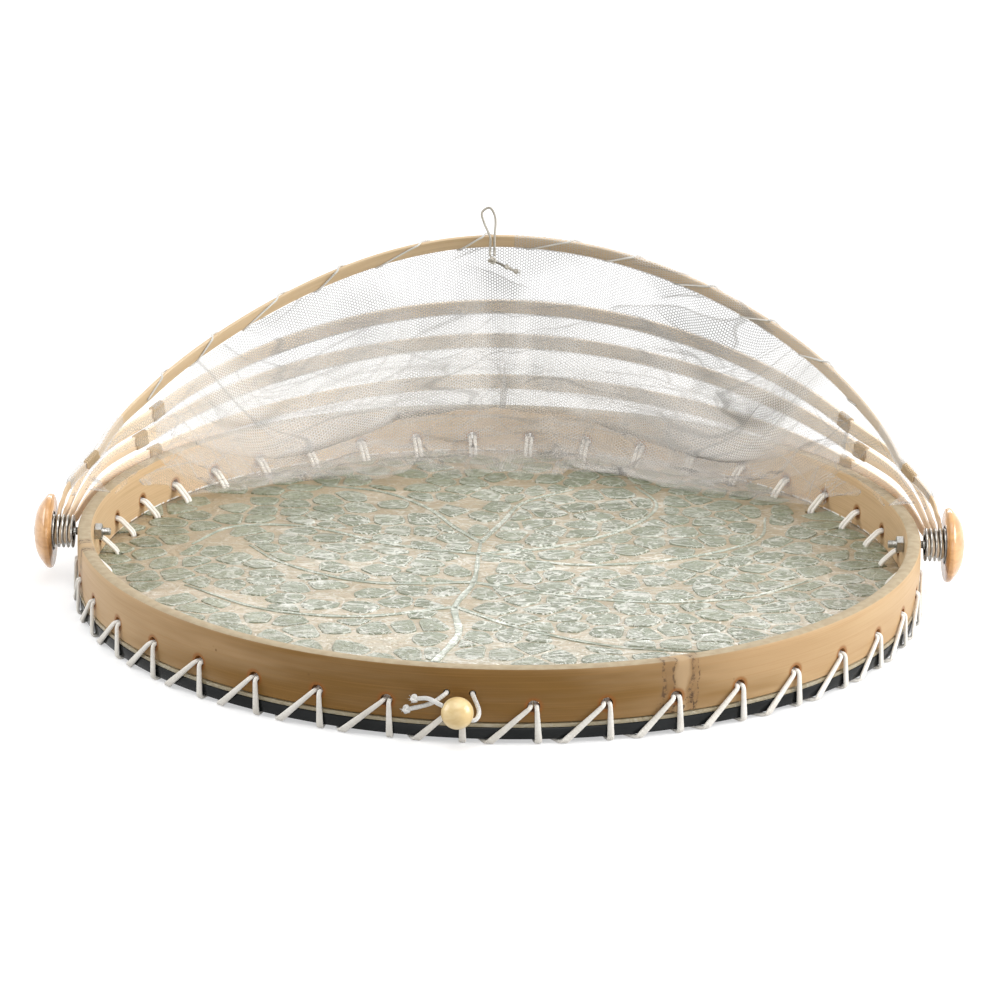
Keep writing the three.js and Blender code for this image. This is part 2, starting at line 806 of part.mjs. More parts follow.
function backHemSection() {
  const inner = RIM_INNER - SEAT_GAP - NET_THICKNESS;
  return new THREE.Vector2(inner, PIVOT_BELOW_RIM_TOP - BACK_HEM_DROP);
}

function netSection(panel) {
  const from = panel === 0 ? backHemSection() : hemSection(panel - 1, 1);
  const to = hemSection(panel, -1);
  const resting = INLAY_TOP + FOLD_REST - PIVOT_HEIGHT;
  const fold = new THREE.Vector2(
    HOOP_RADIUS - FOLD_SET_INS[panel],
    panel === 0 ? resting : FOLD_UP_SHARES[panel] * HOOP_RADIUS,
  );
  return { from, fold, to };
}

// The back panel ends where its hoop no longer clears the rim's top, the others by their cords.
function netEndAngle(panel) {
  if (panel > 0) return angleAt(NET_END_OUTS[panel]);
  const height = HOOP_RADIUS * Math.sin(radians(HOOP_ANGLES[0]));
  return Math.asin((PIVOT_BELOW_RIM_TOP + NET_OVER_RIM) / height);
}

function netMiddle(panel, column, row) {
  const { from, fold, to } = netSection(panel);
  const end = netEndAngle(panel);
  const angle = lerp(end, Math.PI - end, column / NET_COLUMNS);
  const fromEnd = Math.min(angle, Math.PI - angle);
  const deepening = smooth(fromEnd, end * 0.6, end + radians(24));
  const depth = lerp(LEAST_FOLD_SHARES[panel], 1, deepening);
  const rows = 2 * LEG_ROWS;
  const share = row / rows;
  const taut = from.clone().lerp(to, share);
  const leg = row < LEG_ROWS
    ? from.clone().lerp(fold, row / LEG_ROWS)
    : fold.clone().lerp(to, (row - LEG_ROWS) / LEG_ROWS);
  const section = taut.lerp(leg, depth);
  const hang = Math.sin(share * Math.PI);
  const wave = NET_FOLD_HEIGHT * depth * hang * Math.sin(NET_FOLDS * 2 * angle);
  const sideways = new THREE.Vector2(-0.8, 0.6).multiplyScalar(wave);
  section.add(sideways);
  const out = section.length();
  const tilt = Math.atan2(section.y, section.x);
  const sagShare = row / rows;
  const sag = panel === FRONT ? hoopSag(FRONT, angle) * sagShare : 0;
  const point = new THREE.Vector3(
    out * Math.cos(angle),
    out * Math.sin(angle) * Math.cos(tilt),
    PIVOT_HEIGHT + out * Math.sin(angle) * Math.sin(tilt),
  );
  const lean = radians(HOOP_ANGLES[panel]);
  point.y += sag * Math.sin(lean);
  point.z -= sag * Math.cos(lean);
  return point;
}

// Where the section turns, the two legs' normals share a mitre, so the sheet keeps its
// thickness on both legs of a narrow fold.
function netSkin(panel, side) {
  const rows = 2 * LEG_ROWS;
  const skin = [];
  for (let i = 0; i <= NET_COLUMNS; i += 1) {
    const line = [];
    for (let j = 0; j <= rows; j += 1) {
      const here = netMiddle(panel, i, j);
      const left = netMiddle(panel, Math.max(i - 1, 0), j);
      const right = netMiddle(panel, Math.min(i + 1, NET_COLUMNS), j);
      const across = right.sub(left).normalize();
      const [before, after] = [Math.max(j, 1), Math.min(j + 1, rows)].map((row) => {
        const along = netMiddle(panel, i, row).sub(netMiddle(panel, i, row - 1));
        return along.cross(across).negate().normalize();
      });
      const normal = before.add(after);
      const mitre = Math.max(normal.length() / 2, LEAST_MITRE_SHARE);
      normal.normalize();
      line.push(here.addScaledVector(normal, (side * NET_THICKNESS) / 2 / mitre));
    }
    skin.push(line);
  }
  return skin;
}

function netPanel(panel) {
  const upper = netSkin(panel, 1);
  const lower = netSkin(panel, -1);
  const rings = upper.map((line, i) => [...line, ...lower[i].slice().reverse()]);
  return loftStrip(rings);
}

// A thin sheet's rings, capped at both ends by quads between its two faces. Both faces are
// split along the same diagonals, so they stay apart where a quad is twisted.
function loftStrip(rings) {
  const count = rings[0].length;
  const triangles = [];
  for (let i = 0; i < rings.length - 1; i += 1) {
    for (let j = 0; j < count; j += 1) {
      const k = (j + 1) % count;
      const here = i * count;
      const next = here + count;
      if (j < count / 2) {
        triangles.push([here + j, here + k, next + k], [here + j, next + k, next + j]);
      } else {
        triangles.push([here + j, here + k, next + j], [here + k, next + k, next + j]);
      }
    }
  }
  const last = (rings.length - 1) * count;
  for (let j = 0; j < count / 2 - 1; j += 1) {
    const back = count - 1 - j;
    triangles.push([j, back, back - 1], [j, back - 1, j + 1]);
    triangles.push([last + j, last + back - 1, last + back], [last + j, last + j + 1, last + back - 1]);
  }
  return closedGeometry(rings.flat(), triangles);
}

// ---- Latch loop and toggle bead -----------------------------------------

function tubeAlong(points, radius, sides, steps) {
  const curve = new THREE.CatmullRomCurve3(points, false, 'centripetal');
  return loft(tubeRings(curve.getSpacedPoints(steps), radius, sides));
}

function knot(centre, radius, detail) {
  const lump = new THREE.IcosahedronGeometry(radius, detail);
  lump.scale(1, 0.8, 0.9);
  lump.translate(centre.x, centre.y, centre.z);
  return weld(lump);
}

// Places in the front hoop's plane at its middle: across, out from the strip, forward.
function loopPlace(across, outward, forward) {
  return new THREE.Vector3(LOOP_OFFSET + across, HOOP_RADIUS + outward, forward);
}

// A place in front of the foremost panel's front leg: across, down the leg and off it.
function legPlace(across, down, standOff) {
  const { fold, to } = netSection(FRONT);
  const along = fold.clone().sub(to).normalize();
  const forward = new THREE.Vector2(along.y, -along.x);
  const place = to.clone().addScaledVector(along, down).addScaledVector(forward, standOff);
  place.rotateAround(new THREE.Vector2(), -radians(HOOP_ANGLES[FRONT]));
  return new THREE.Vector3(LOOP_OFFSET + across, place.x, place.y);
}

const LATCH_LIFT = HOOP_THICKNESS / 2 + SEWN_HEM_LIFT + NET_THICKNESS + LOOP_CORD_RADIUS;
const LATCH_STRAND = 1.1;
const LATCH_RISE = 12;
const LATCH_BOW = 4.5;
const LATCH_DROP = 6;
const KNOT_STAND_OFF = NET_THICKNESS + SEAT_GAP + KNOT_RADIUS;

function latchLoop() {
  const side = HOOP_WIDTH / 2;
  const strand = (left) => [
    legPlace(left * LATCH_STRAND, LATCH_DROP - 1.4 * KNOT_RADIUS, KNOT_STAND_OFF),
    loopPlace(left * LATCH_STRAND, -LATCH_LIFT - LOOP_CORD_RADIUS, -side / 2),
    loopPlace(left * LATCH_STRAND, -LATCH_LIFT, side / 2),
    loopPlace(left * LATCH_STRAND, -LATCH_LIFT * 0.7, side + 2 * LOOP_CORD_RADIUS),
  ];
  return tubeAlong([
    ...strand(-1),
    loopPlace(-LATCH_BOW, LATCH_RISE * 0.2, side + LATCH_RISE * 0.55),
    loopPlace(-LATCH_BOW - LATCH_STRAND, LATCH_RISE * 0.45, side + LATCH_RISE * 0.9),
    loopPlace(-LATCH_BOW * 0.4, LATCH_RISE * 0.6, side + LATCH_RISE * 1.05),
    loopPlace(LATCH_STRAND, LATCH_RISE * 0.4, side + LATCH_RISE * 0.75),
    ...strand(1).reverse(),
  ], LOOP_CORD_RADIUS, 8, 26);
}

const TAIL_REACHES = [7.5, 12.5];
const TAIL_FALL_SHARE = 0.45;

function tailPlace(reach, share) {
  const down = LATCH_DROP + TAIL_FALL_SHARE * reach * share;
  return legPlace(reach * share, down, KNOT_STAND_OFF);
}

function latchKnot() {
  const tails = TAIL_REACHES.map((reach) => (
    tubeAlong([0, 0.5, 1].map((share) => tailPlace(reach, share)), LOOP_CORD_RADIUS, 8, 3)
  ));
  const ends = TAIL_REACHES.map((reach) => knot(tailPlace(reach, 1), KNOT_RADIUS * 0.8, 0));
  return join([knot(tailPlace(0, 0), KNOT_RADIUS, 1), ...tails, ...ends]);
}

const BEAD_STANDOFF = RIM_RADIUS + RIM_BELLY + 2 * SEAT_GAP + CORD_THICKNESS + BEAD_RADIUS;

// The cord's places outside the rim, in shares of the bead's radius from its centre:
// left round the rim, out from the tray's axis, and up. First the end through the bead.
const BEAD_END_SHARES = [
  [-2.72, -0.8, 0.5],
  [-1.9, -0.6, 0.64],
  [-1.18, -0.09, 0.53],
];
const BEAD_TURN_SHARES = [
  [1.13, -0.14, -0.41],
  [1.27, -0.64, -0.09],
];
const OTHER_END_SHARES = [
  [-1.67, -0.76, 0.29],
  [-3.2, -0.82, -0.23],
];

function beadFrame() {
  const frame = new THREE.Group();
  frame.rotation.z = stitchAngle(0) + Math.PI / 2;
  return frame;
}

function bead() {
  const ball = new THREE.SphereGeometry(BEAD_RADIUS, 16, 9);
  const bore = new THREE.CylinderGeometry(BEAD_BORE_RADIUS, BEAD_BORE_RADIUS, 4 * BEAD_RADIUS, 10);
  bore.rotateZ(Math.PI / 2);
  bore.rotateY(radians(BEAD_TILT));
  const piece = cut(weld(ball), [weld(bore)]);
  piece.translate(0, -BEAD_STANDOFF, LACE_HOLE_Z);
  return piece;
}

function beadPlaces(shares) {
  return shares.map(([left, out, up]) => new THREE.Vector3(
    left * BEAD_RADIUS,
    -BEAD_STANDOFF - out * BEAD_RADIUS,
    LACE_HOLE_Z + up * BEAD_RADIUS,
  ));
}

// Through both small holes in the rim, with a straight stretch along its inner face.
function beadHolePlaces() {
  const height = LACE_HOLE_Z + BEAD_HOLE_RISE;
  const inside = RIM_INNER - SEAT_GAP - BEAD_CORD_RADIUS;
  const near = RIM_RADIUS + RIM_BELLY + 2 * BEAD_CORD_RADIUS;
  const place = (left, radius) => new THREE.Vector3(left, -radius, height);
  const half = (side) => [
    place(side * (BEAD_HOLE_SPREAD + BEAD_CORD_RADIUS / 2), near),
    place(side * BEAD_HOLE_SPREAD, RIM_RADIUS),
    place(side * BEAD_HOLE_SPREAD, RIM_INNER),
    place(side * (BEAD_HOLE_SPREAD - 2 * BEAD_CORD_RADIUS), inside),
  ];
  return [...half(1), ...half(-1).reverse()];
}

function beadBorePlaces() {
  const tilt = radians(BEAD_TILT);
  return [-0.95, 0.95].map((share) => new THREE.Vector3(
    share * BEAD_RADIUS * Math.cos(tilt),
    -BEAD_STANDOFF,
    LACE_HOLE_Z - share * BEAD_RADIUS * Math.sin(tilt),
  ));
}

function beadCord() {
  const points = [
    ...beadPlaces(BEAD_END_SHARES),
    ...beadBorePlaces(),
    ...beadPlaces(BEAD_TURN_SHARES),
    ...beadHolePlaces(),
    ...beadPlaces(OTHER_END_SHARES),
  ];
  const tube = tubeAlong(points, BEAD_CORD_RADIUS, 8, 32);
  const knots = [points[0], points[points.length - 1]].map((end) => knot(end, KNOT_RADIUS, 1));
  return join([tube, ...knots]);
}

// ---- Assembly -----------------------------------------------------------

const NET_NAMES = ['net_panel_4', 'net_panel_3', 'net_panel_2', 'net_panel_1'];
const HOOP_NAMES = ['hoop_4', 'hoop_3', 'hoop_2', 'front_hoop'];

function addTray(cover) {
  const board = disc(BOARD_RADIUS, 0, BOARD_THICKNESS, BOARD_CHAMFER);
  const inlay = disc(RIM_RADIUS + INLAY_LIP, INLAY_BASE, INLAY_TOP, 0);
  add(cover, 'base_board', cut(board, boardHoles(0, BOARD_THICKNESS)), materials.lacquer);
  add(cover, 'inlay_panel', cut(inlay, boardHoles(INLAY_BASE, INLAY_TOP)), materials.inlay);
  add(cover, 'bamboo_rim', rim(), materials.bamboo);
  add(cover, 'rim_lacing', lacing(), materials.cord);
  addPivots(cover);
}

function addHoops(cover) {
  HOOP_NAMES.forEach((name, hoop) => {
    const plane = new THREE.Group();
    plane.position.z = PIVOT_HEIGHT;
    plane.rotation.x = radians(HOOP_ANGLES[hoop]);
    add(plane, name, hoopStrip(hoop), materials.hoopBamboo);
    add(plane, `${name}_whipping_right`, whipping(hoop, 1), materials.whipping);
    add(plane, `${name}_whipping_left`, whipping(hoop, -1), materials.whipping);
    if (hoop === FRONT) {
      add(plane, 'front_hoop_stitching', stitching(), materials.cord);
      add(plane, 'latch_loop', latchLoop(), materials.cord);
      add(plane, 'latch_knot', latchKnot(), materials.cord);
    }
    cover.add(plane);
  });
}

function addBead(cover) {
  const frame = beadFrame();
  add(frame, 'toggle_bead', bead(), materials.bead);
  add(frame, 'bead_cord', beadCord(), materials.cord);
  cover.add(frame);
}

const cover = new THREE.Group();
addTray(cover);
addHoops(cover);
addBead(cover);
NET_NAMES.forEach((name, panel) => add(cover, name, netPanel(panel), materials.net));

export default cover;
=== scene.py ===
"""Looks for the round serving tray with a folding net cover.

Lengths are in millimetres until a mesh is made, and MM turns them into metres. In materials
they are metres. The tray's routes and the hoops' curves repeat the CAD source's formulas.
"""
import math
import random

import bmesh
import bpy
import numpy as np
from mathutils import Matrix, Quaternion, Vector


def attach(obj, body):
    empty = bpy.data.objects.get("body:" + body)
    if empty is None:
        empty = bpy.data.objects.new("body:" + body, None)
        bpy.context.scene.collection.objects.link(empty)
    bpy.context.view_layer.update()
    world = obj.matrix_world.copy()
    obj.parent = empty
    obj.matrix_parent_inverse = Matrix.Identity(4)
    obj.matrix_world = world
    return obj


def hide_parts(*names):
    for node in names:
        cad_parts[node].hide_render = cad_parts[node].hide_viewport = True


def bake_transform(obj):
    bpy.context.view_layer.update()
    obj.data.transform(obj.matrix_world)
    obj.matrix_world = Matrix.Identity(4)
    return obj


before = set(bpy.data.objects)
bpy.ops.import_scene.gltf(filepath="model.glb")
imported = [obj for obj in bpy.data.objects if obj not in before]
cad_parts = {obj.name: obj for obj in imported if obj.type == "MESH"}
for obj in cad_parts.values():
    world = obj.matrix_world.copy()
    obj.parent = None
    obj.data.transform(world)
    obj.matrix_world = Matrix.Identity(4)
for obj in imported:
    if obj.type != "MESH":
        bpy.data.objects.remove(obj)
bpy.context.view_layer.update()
MM = 0.001

# ---- Sizes shared with the CAD source ------------------------------------
SEAT_GAP = 0.3
RIM_RADIUS, RIM_WALL, RIM_HEIGHT = 200.0, 6.5, 24.2
RIM_INNER = RIM_RADIUS - RIM_WALL
RIM_BULGE = 0.4
BOARD_THICKNESS, BOARD_LIP = 5.1, 0.8
BOARD_RADIUS = RIM_RADIUS + BOARD_LIP
INLAY_BASE = BOARD_THICKNESS + SEAT_GAP
INLAY_TOP = INLAY_BASE + 1.6
RIM_BASE = INLAY_TOP + SEAT_GAP
RIM_TOP = RIM_BASE + RIM_HEIGHT
PIVOT = RIM_TOP - 8.5
STITCHES = 40
LACE_PITCH = 2 * math.pi / STITCHES
LACE_HOLE_Z = RIM_BASE + 7.6
WALL_BORE, BOARD_BORE, PIVOT_BORE, CORD_BORE = 2.75, 2.9, 2.2, 1.5
LACE_RING = RIM_INNER - 8.5
CORD_WIDTH, CORD_WAIST, CORD_THICKNESS = 3.2, 1.9, 1.5
BEAD_HOLE_SIDE, BEAD_HOLE_Z = 5.5, LACE_HOLE_Z + 5.6
SCREW_RADIUS = 1.95
STACK_START = RIM_RADIUS + 3.6
WASHER, HOOP_END, STACK_GAP = 0.7, 1.2, 0.15
STACK_PITCH = WASHER + HOOP_END + 2 * STACK_GAP
WASHER_RADIUS, WASHER_HOLE, WASHERS = 8.0, 2.25, 5
BUTTON_FOOT, BUTTON_BRIM, BUTTON_CROWN, BUTTON_HOLE = 16.9, 17.6, 4.6, 2.3
HOOP_RADIUS, HOOP_WIDTH, HOOP_NECK, HOOP_THICKNESS = 202.4, 7.8, 4.8, 2.0
HOOP_ANGLES = [math.radians(a) for a in (5.9, 12.7, 18.6, 31.0)]
FRONT = 3
HOOP_NAMES = ["hoop_4", "hoop_3", "hoop_2", "front_hoop"]
HOOP_BODIES = ["back_hoop", "third_hoop", "second_hoop", "front_hoop_group"]
CULMS = (-67.0, 193.0)
SIDES = (("right", 1), ("left", -1))
FORWARD = np.array([0.0, 0.0, 1.0])
rng = random.Random(7)
nrng = np.random.default_rng(7)


# ---- Places and lines -----------------------------------------------------
def stitch_angle(k):
    return -math.pi / 2 - (k + 0.5) * LACE_PITCH


def polar(radius, angle, z):
    return np.array([radius * math.cos(angle), radius * math.sin(angle), z])


def smooth(x, low, high):
    t = np.clip((np.asarray(x, float) - low) / (high - low), 0, 1)
    return t * t * (3 - 2 * t)


def unit(vectors):
    return vectors / np.linalg.norm(vectors, axis=-1, keepdims=True)


def turns(count):
    return np.arange(count) * 2 * math.pi / count


def run_along(points):
    """How far along a line each of its points lies."""
    return np.concatenate([[0], np.cumsum(np.linalg.norm(np.diff(points, axis=0), axis=1))])


def points_at(points, want):
    """The places on a line at the wanted distances from its start."""
    run = run_along(points)
    return np.stack([np.interp(want, run, points[:, k]) for k in range(points.shape[1])], 1)


def between(t, start, end, a, b):
    return ((end - t) * a + (t - start) * b) / (end - start)


def spline(points, step):
    """A centripetal Catmull-Rom curve through the points, evenly spaced."""
    p = np.asarray(points, float)
    p = np.vstack([2 * p[0] - p[1], p, 2 * p[-1] - p[-2]])
    curve = []
    for i in range(1, len(p) - 2):
        near = p[i - 1:i + 3]
        at = np.concatenate([[0], np.cumsum(np.linalg.norm(np.diff(near, axis=0), axis=1) ** 0.5)])
        for t in np.linspace(at[1], at[2], 24, endpoint=i == len(p) - 3):
            a = [between(t, at[k], at[k + 1], near[k], near[k + 1]) for k in range(3)]
            b = [between(t, at[k], at[k + 2], a[k], a[k + 1]) for k in range(2)]
            curve.append(between(t, at[1], at[2], *b))
    curve = np.array(curve)
    length = run_along(curve)[-1]
    return points_at(curve, np.linspace(0, length, max(3, int(length / step))))


# ---- Meshes ---------------------------------------------------------------
def add_object(name, data):
    made = bpy.data.objects.new(name, data)
    bpy.context.scene.collection.objects.link(made)
    return made


def new_mesh(name, points, faces, uvs=None):
    mesh = bpy.data.meshes.new(name)
    mesh.from_pydata([tuple(p) for p in np.asarray(points, float) * MM], [], faces)
    if uvs is not None:
        corners = np.empty(len(mesh.loops), np.int32)
        mesh.loops.foreach_get("vertex_index", corners)
        layer = mesh.uv_layers.new(name="strip")
        layer.data.foreach_set("uv", np.asarray(uvs, np.float32)[corners].ravel())
    mesh.polygons.foreach_set("use_smooth", [True] * len(mesh.polygons))
    mesh.update()
    return add_object(name, mesh)


def strip_uv(run, across):
    """Each point's distance along a strip and across it, in metres."""
    return np.stack([np.repeat(run, len(across)), np.tile(across, len(run))], 1) * MM


def fix_normals(piece, angle=35):
    """Welds the mesh, turns its faces outwards and marks the edges that stay sharp."""
    bm = bmesh.new()
    bm.from_mesh(piece.data)
    bmesh.ops.remove_doubles(bm, verts=bm.verts, dist=1e-7)
    bmesh.ops.recalc_face_normals(bm, faces=bm.faces)
    for edge in bm.edges:
        if len(edge.link_faces) == 2:
            a, b = edge.link_faces
            edge.smooth = a.normal.angle(b.normal, 0) < math.radians(angle)
    bm.to_mesh(piece.data)
    bm.free()
    piece.data.update()
    return piece


def ring_faces(count, pairs):
    """Quads between pairs of closed rings, each pair given by its rings' first points."""
    return [(a + j, a + (j + 1) % count, b + (j + 1) % count, b + j) for a, b in pairs for j in range(count)]


def loft(name, rings, uvs=None, closed=False, caps=True):
    """Joins closed rings of points. closed also joins the last ring to the first."""
    rings = np.asarray(rings, float)
    n, m = rings.shape[:2]
    faces = ring_faces(m, [(i * m, (i + 1) % n * m) for i in range(n if closed else n - 1)])
    if caps and not closed:
        faces.append(tuple(range(m))[::-1])
        faces.append(tuple((n - 1) * m + j for j in range(m)))
    return new_mesh(name, rings.reshape(-1, 3), faces, uvs)


def lathe_x(name, profile, side, sides):
    """profile: (distance along X, radius) pairs about the pivot axis. side is 1 or -1."""
    turn = turns(sides)
    return fix_normals(loft(name, [
        np.stack([np.full(sides, side * x), radius * np.cos(turn), PIVOT + radius * np.sin(turn)], 1)
        for x, radius in profile]))


def tube_rings(points, radius, sides):
    points = np.asarray(points, float)
    radius = np.broadcast_to(np.asarray(radius, float), (len(points),))
    along = unit(np.gradient(points, axis=0))
    side = np.cross(along[0], [0.31, 0.52, 0.79])
    turn = turns(sides)
    rings = []
    for p, t, r in zip(points, along, radius):
        side = unit(side - t * side.dot(t))
        rings.append(p + r * (np.cos(turn)[:, None] * side + np.sin(turn)[:, None] * np.cross(t, side)))
    return np.array(rings)


def cord_piece(name, points, radius, sides):
    across = turns(sides) * np.mean(radius)
    return loft(name, tube_rings(points, radius, sides), strip_uv(run_along(points), across))


def rod(start, end, radius, sides=20):
    return loft("rod", tube_rings([start, end], radius, sides))


def join_pieces(name, pieces):
    bm = bmesh.new()
    for piece in pieces:
        bm.from_mesh(piece.data)
        bpy.data.objects.remove(piece)
    mesh = bpy.data.meshes.new(name)
    bm.to_mesh(mesh)
    bm.free()
    return add_object(name, mesh)


def drill(piece, bores):
    tool = fix_normals(join_pieces("cutter", bores))
    modifier = piece.modifiers.new("holes", "BOOLEAN")
    modifier.object = tool
    modifier.solver = "EXACT"
    ready = piece.evaluated_get(bpy.context.evaluated_depsgraph_get())
    mesh = bpy.data.meshes.new_from_object(ready)
    piece.modifiers.clear()
    piece.data = mesh
    bpy.data.objects.remove(tool)
    return fix_normals(piece)


def paint(piece, material):
    piece.data.materials.clear()
    piece.data.materials.append(material)


def dress(piece, body, material, slot, *replaced):
    paint(piece, material)
    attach(piece, body)
    if replaced:
        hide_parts(*replaced)


# ---- Node materials -------------------------------------------------------
class Value:
    """A node's output that takes arithmetic, so that a material reads as its formula."""
    def __init__(self, nodes, socket):
        self.nodes, self.socket = nodes, socket

    def __add__(self, other):
        return self.nodes.math("ADD", self, other)

    def __sub__(self, other):
        return self.nodes.math("SUBTRACT", self, other)

    def __rsub__(self, other):
        return self.nodes.math("SUBTRACT", other, self)

    def __mul__(self, other):
        return self.nodes.math("MULTIPLY", self, other)

    def __abs__(self):
        return self.nodes.math("ABSOLUTE", self)

    __radd__ = __add__


class Nodes:
    """Short names for the nodes that materials and the world share."""
    def __init__(self, tree):
        self.tree = tree

    def put(self, socket, value):
        if isinstance(value, Value):
            self.tree.links.new(value.socket, socket)
        else:
            socket.default_value = (*value, 1.0) if socket.type == "RGBA" else value

    def node(self, kind, inputs=None, output=0, **settings):
        made = self.tree.nodes.new(kind)
        for key, value in settings.items():
            setattr(made, key, value)
        for key, value in (inputs or {}).items():
            self.put(made.inputs[key], value)
        return Value(self, made.outputs[output])

    def math(self, operation, *values, clamp=False):
        return self.node("ShaderNodeMath", dict(enumerate(values)), operation=operation, use_clamp=clamp)

    def ramp(self, value, low, high, a=0.0, b=1.0, kind="SMOOTHSTEP"):
        """Goes from a to b as value goes from low to high, which may be the smaller one."""
        return self.node("ShaderNodeMapRange", dict(enumerate((value, low, high, a, b))),
                         interpolation_type=kind)

    def any_ray(self, *kinds):
        """1 for a ray of any of these kinds, and 0 for the rest."""
        found = 0.0
        for kind in kinds:
            found = self.math("MAXIMUM", found, self.node("ShaderNodeLightPath", output=kind))
        return found


class Shader(Nodes):
    """A material of one Principled BSDF."""
    def __init__(self, name, roughness=0.5, metallic=0.0, coat=0.0, coat_roughness=0.05, sheen=0.0,
                 ior=1.5, specular=0.5):
        self.material = bpy.data.materials.new(name)
        self.material.use_nodes = True
        super().__init__(self.material.node_tree)
        self.bsdf = self.tree.nodes["Principled BSDF"]
        for socket, value in {
            "Roughness": roughness, "Metallic": metallic, "Coat Weight": coat, "IOR": ior,
            "Coat Roughness": coat_roughness, "Sheen Weight": sheen, "Specular IOR Level": specular,
        }.items():
            self.set(socket, value)
        self.coords = self.node("ShaderNodeTexCoord", output="Object")

    def set(self, socket, value):
        self.put(self.bsdf.inputs[socket], value)

    def split(self, vector):
        made = self.tree.nodes.new("ShaderNodeSeparateXYZ")
        self.put(made.inputs[0], vector)
        return [Value(self, socket) for socket in made.outputs]

    def join(self, x, y, z=0.0):
        return self.node("ShaderNodeCombineXYZ", {0: x, 1: y, 2: z})

    def uv(self):
        return self.split(self.node("ShaderNodeUVMap", uv_map="strip"))[:2]

    def attribute(self, name):
        return self.node("ShaderNodeAttribute", output="Fac", attribute_name=name)

    def normal(self):
        return self.node("ShaderNodeNewGeometry", output="Normal")

    def reach(self, x, y):
        return self.math("SQRT", x * x + y * y)

    def mix(self, factor, a, b):
        return self.node("ShaderNodeMix", {0: factor, 6: a, 7: b}, 2, data_type="RGBA", clamp_factor=True)

    def shade(self, value, low, high, a, b):
        """The colour a where value is at low, through to b where it is at high."""
        return self.mix(self.ramp(value, low, high), a, b)

    def noise(self, place, detail=3.0, rough=0.5, distortion=0.0):
        return self.node("ShaderNodeTexNoise", {
            "Vector": place, "Scale": 1.0, "Detail": detail, "Roughness": rough,
            "Distortion": distortion}, "Fac")

    def grain(self, scale, detail=3.0, rough=0.5, distortion=0.0):
        """Noise in the object's coordinates, with one scale or one for each axis."""
        scale = scale if isinstance(scale, tuple) else (scale,) * 3
        place = self.node("ShaderNodeVectorMath", {0: self.coords, 1: scale}, operation="MULTIPLY")
        return self.noise(place, detail, rough, distortion)

    def cells(self, x, y):
        return self.node("ShaderNodeTexVoronoi", {"Vector": self.join(x, y), "Scale": 1.0}, "Distance")

    def done(self, colour, height, strength, distance, onto=("Normal",)):
        """Sets the colour and the relief, and gives the material."""
        self.set("Base Color", colour)
        bump = self.node("ShaderNodeBump", {"Height": height, "Strength": strength, "Distance": distance})
        for socket in onto:
            self.set(socket, bump)
        return self.material


COATED = ("Normal", "Coat Normal")


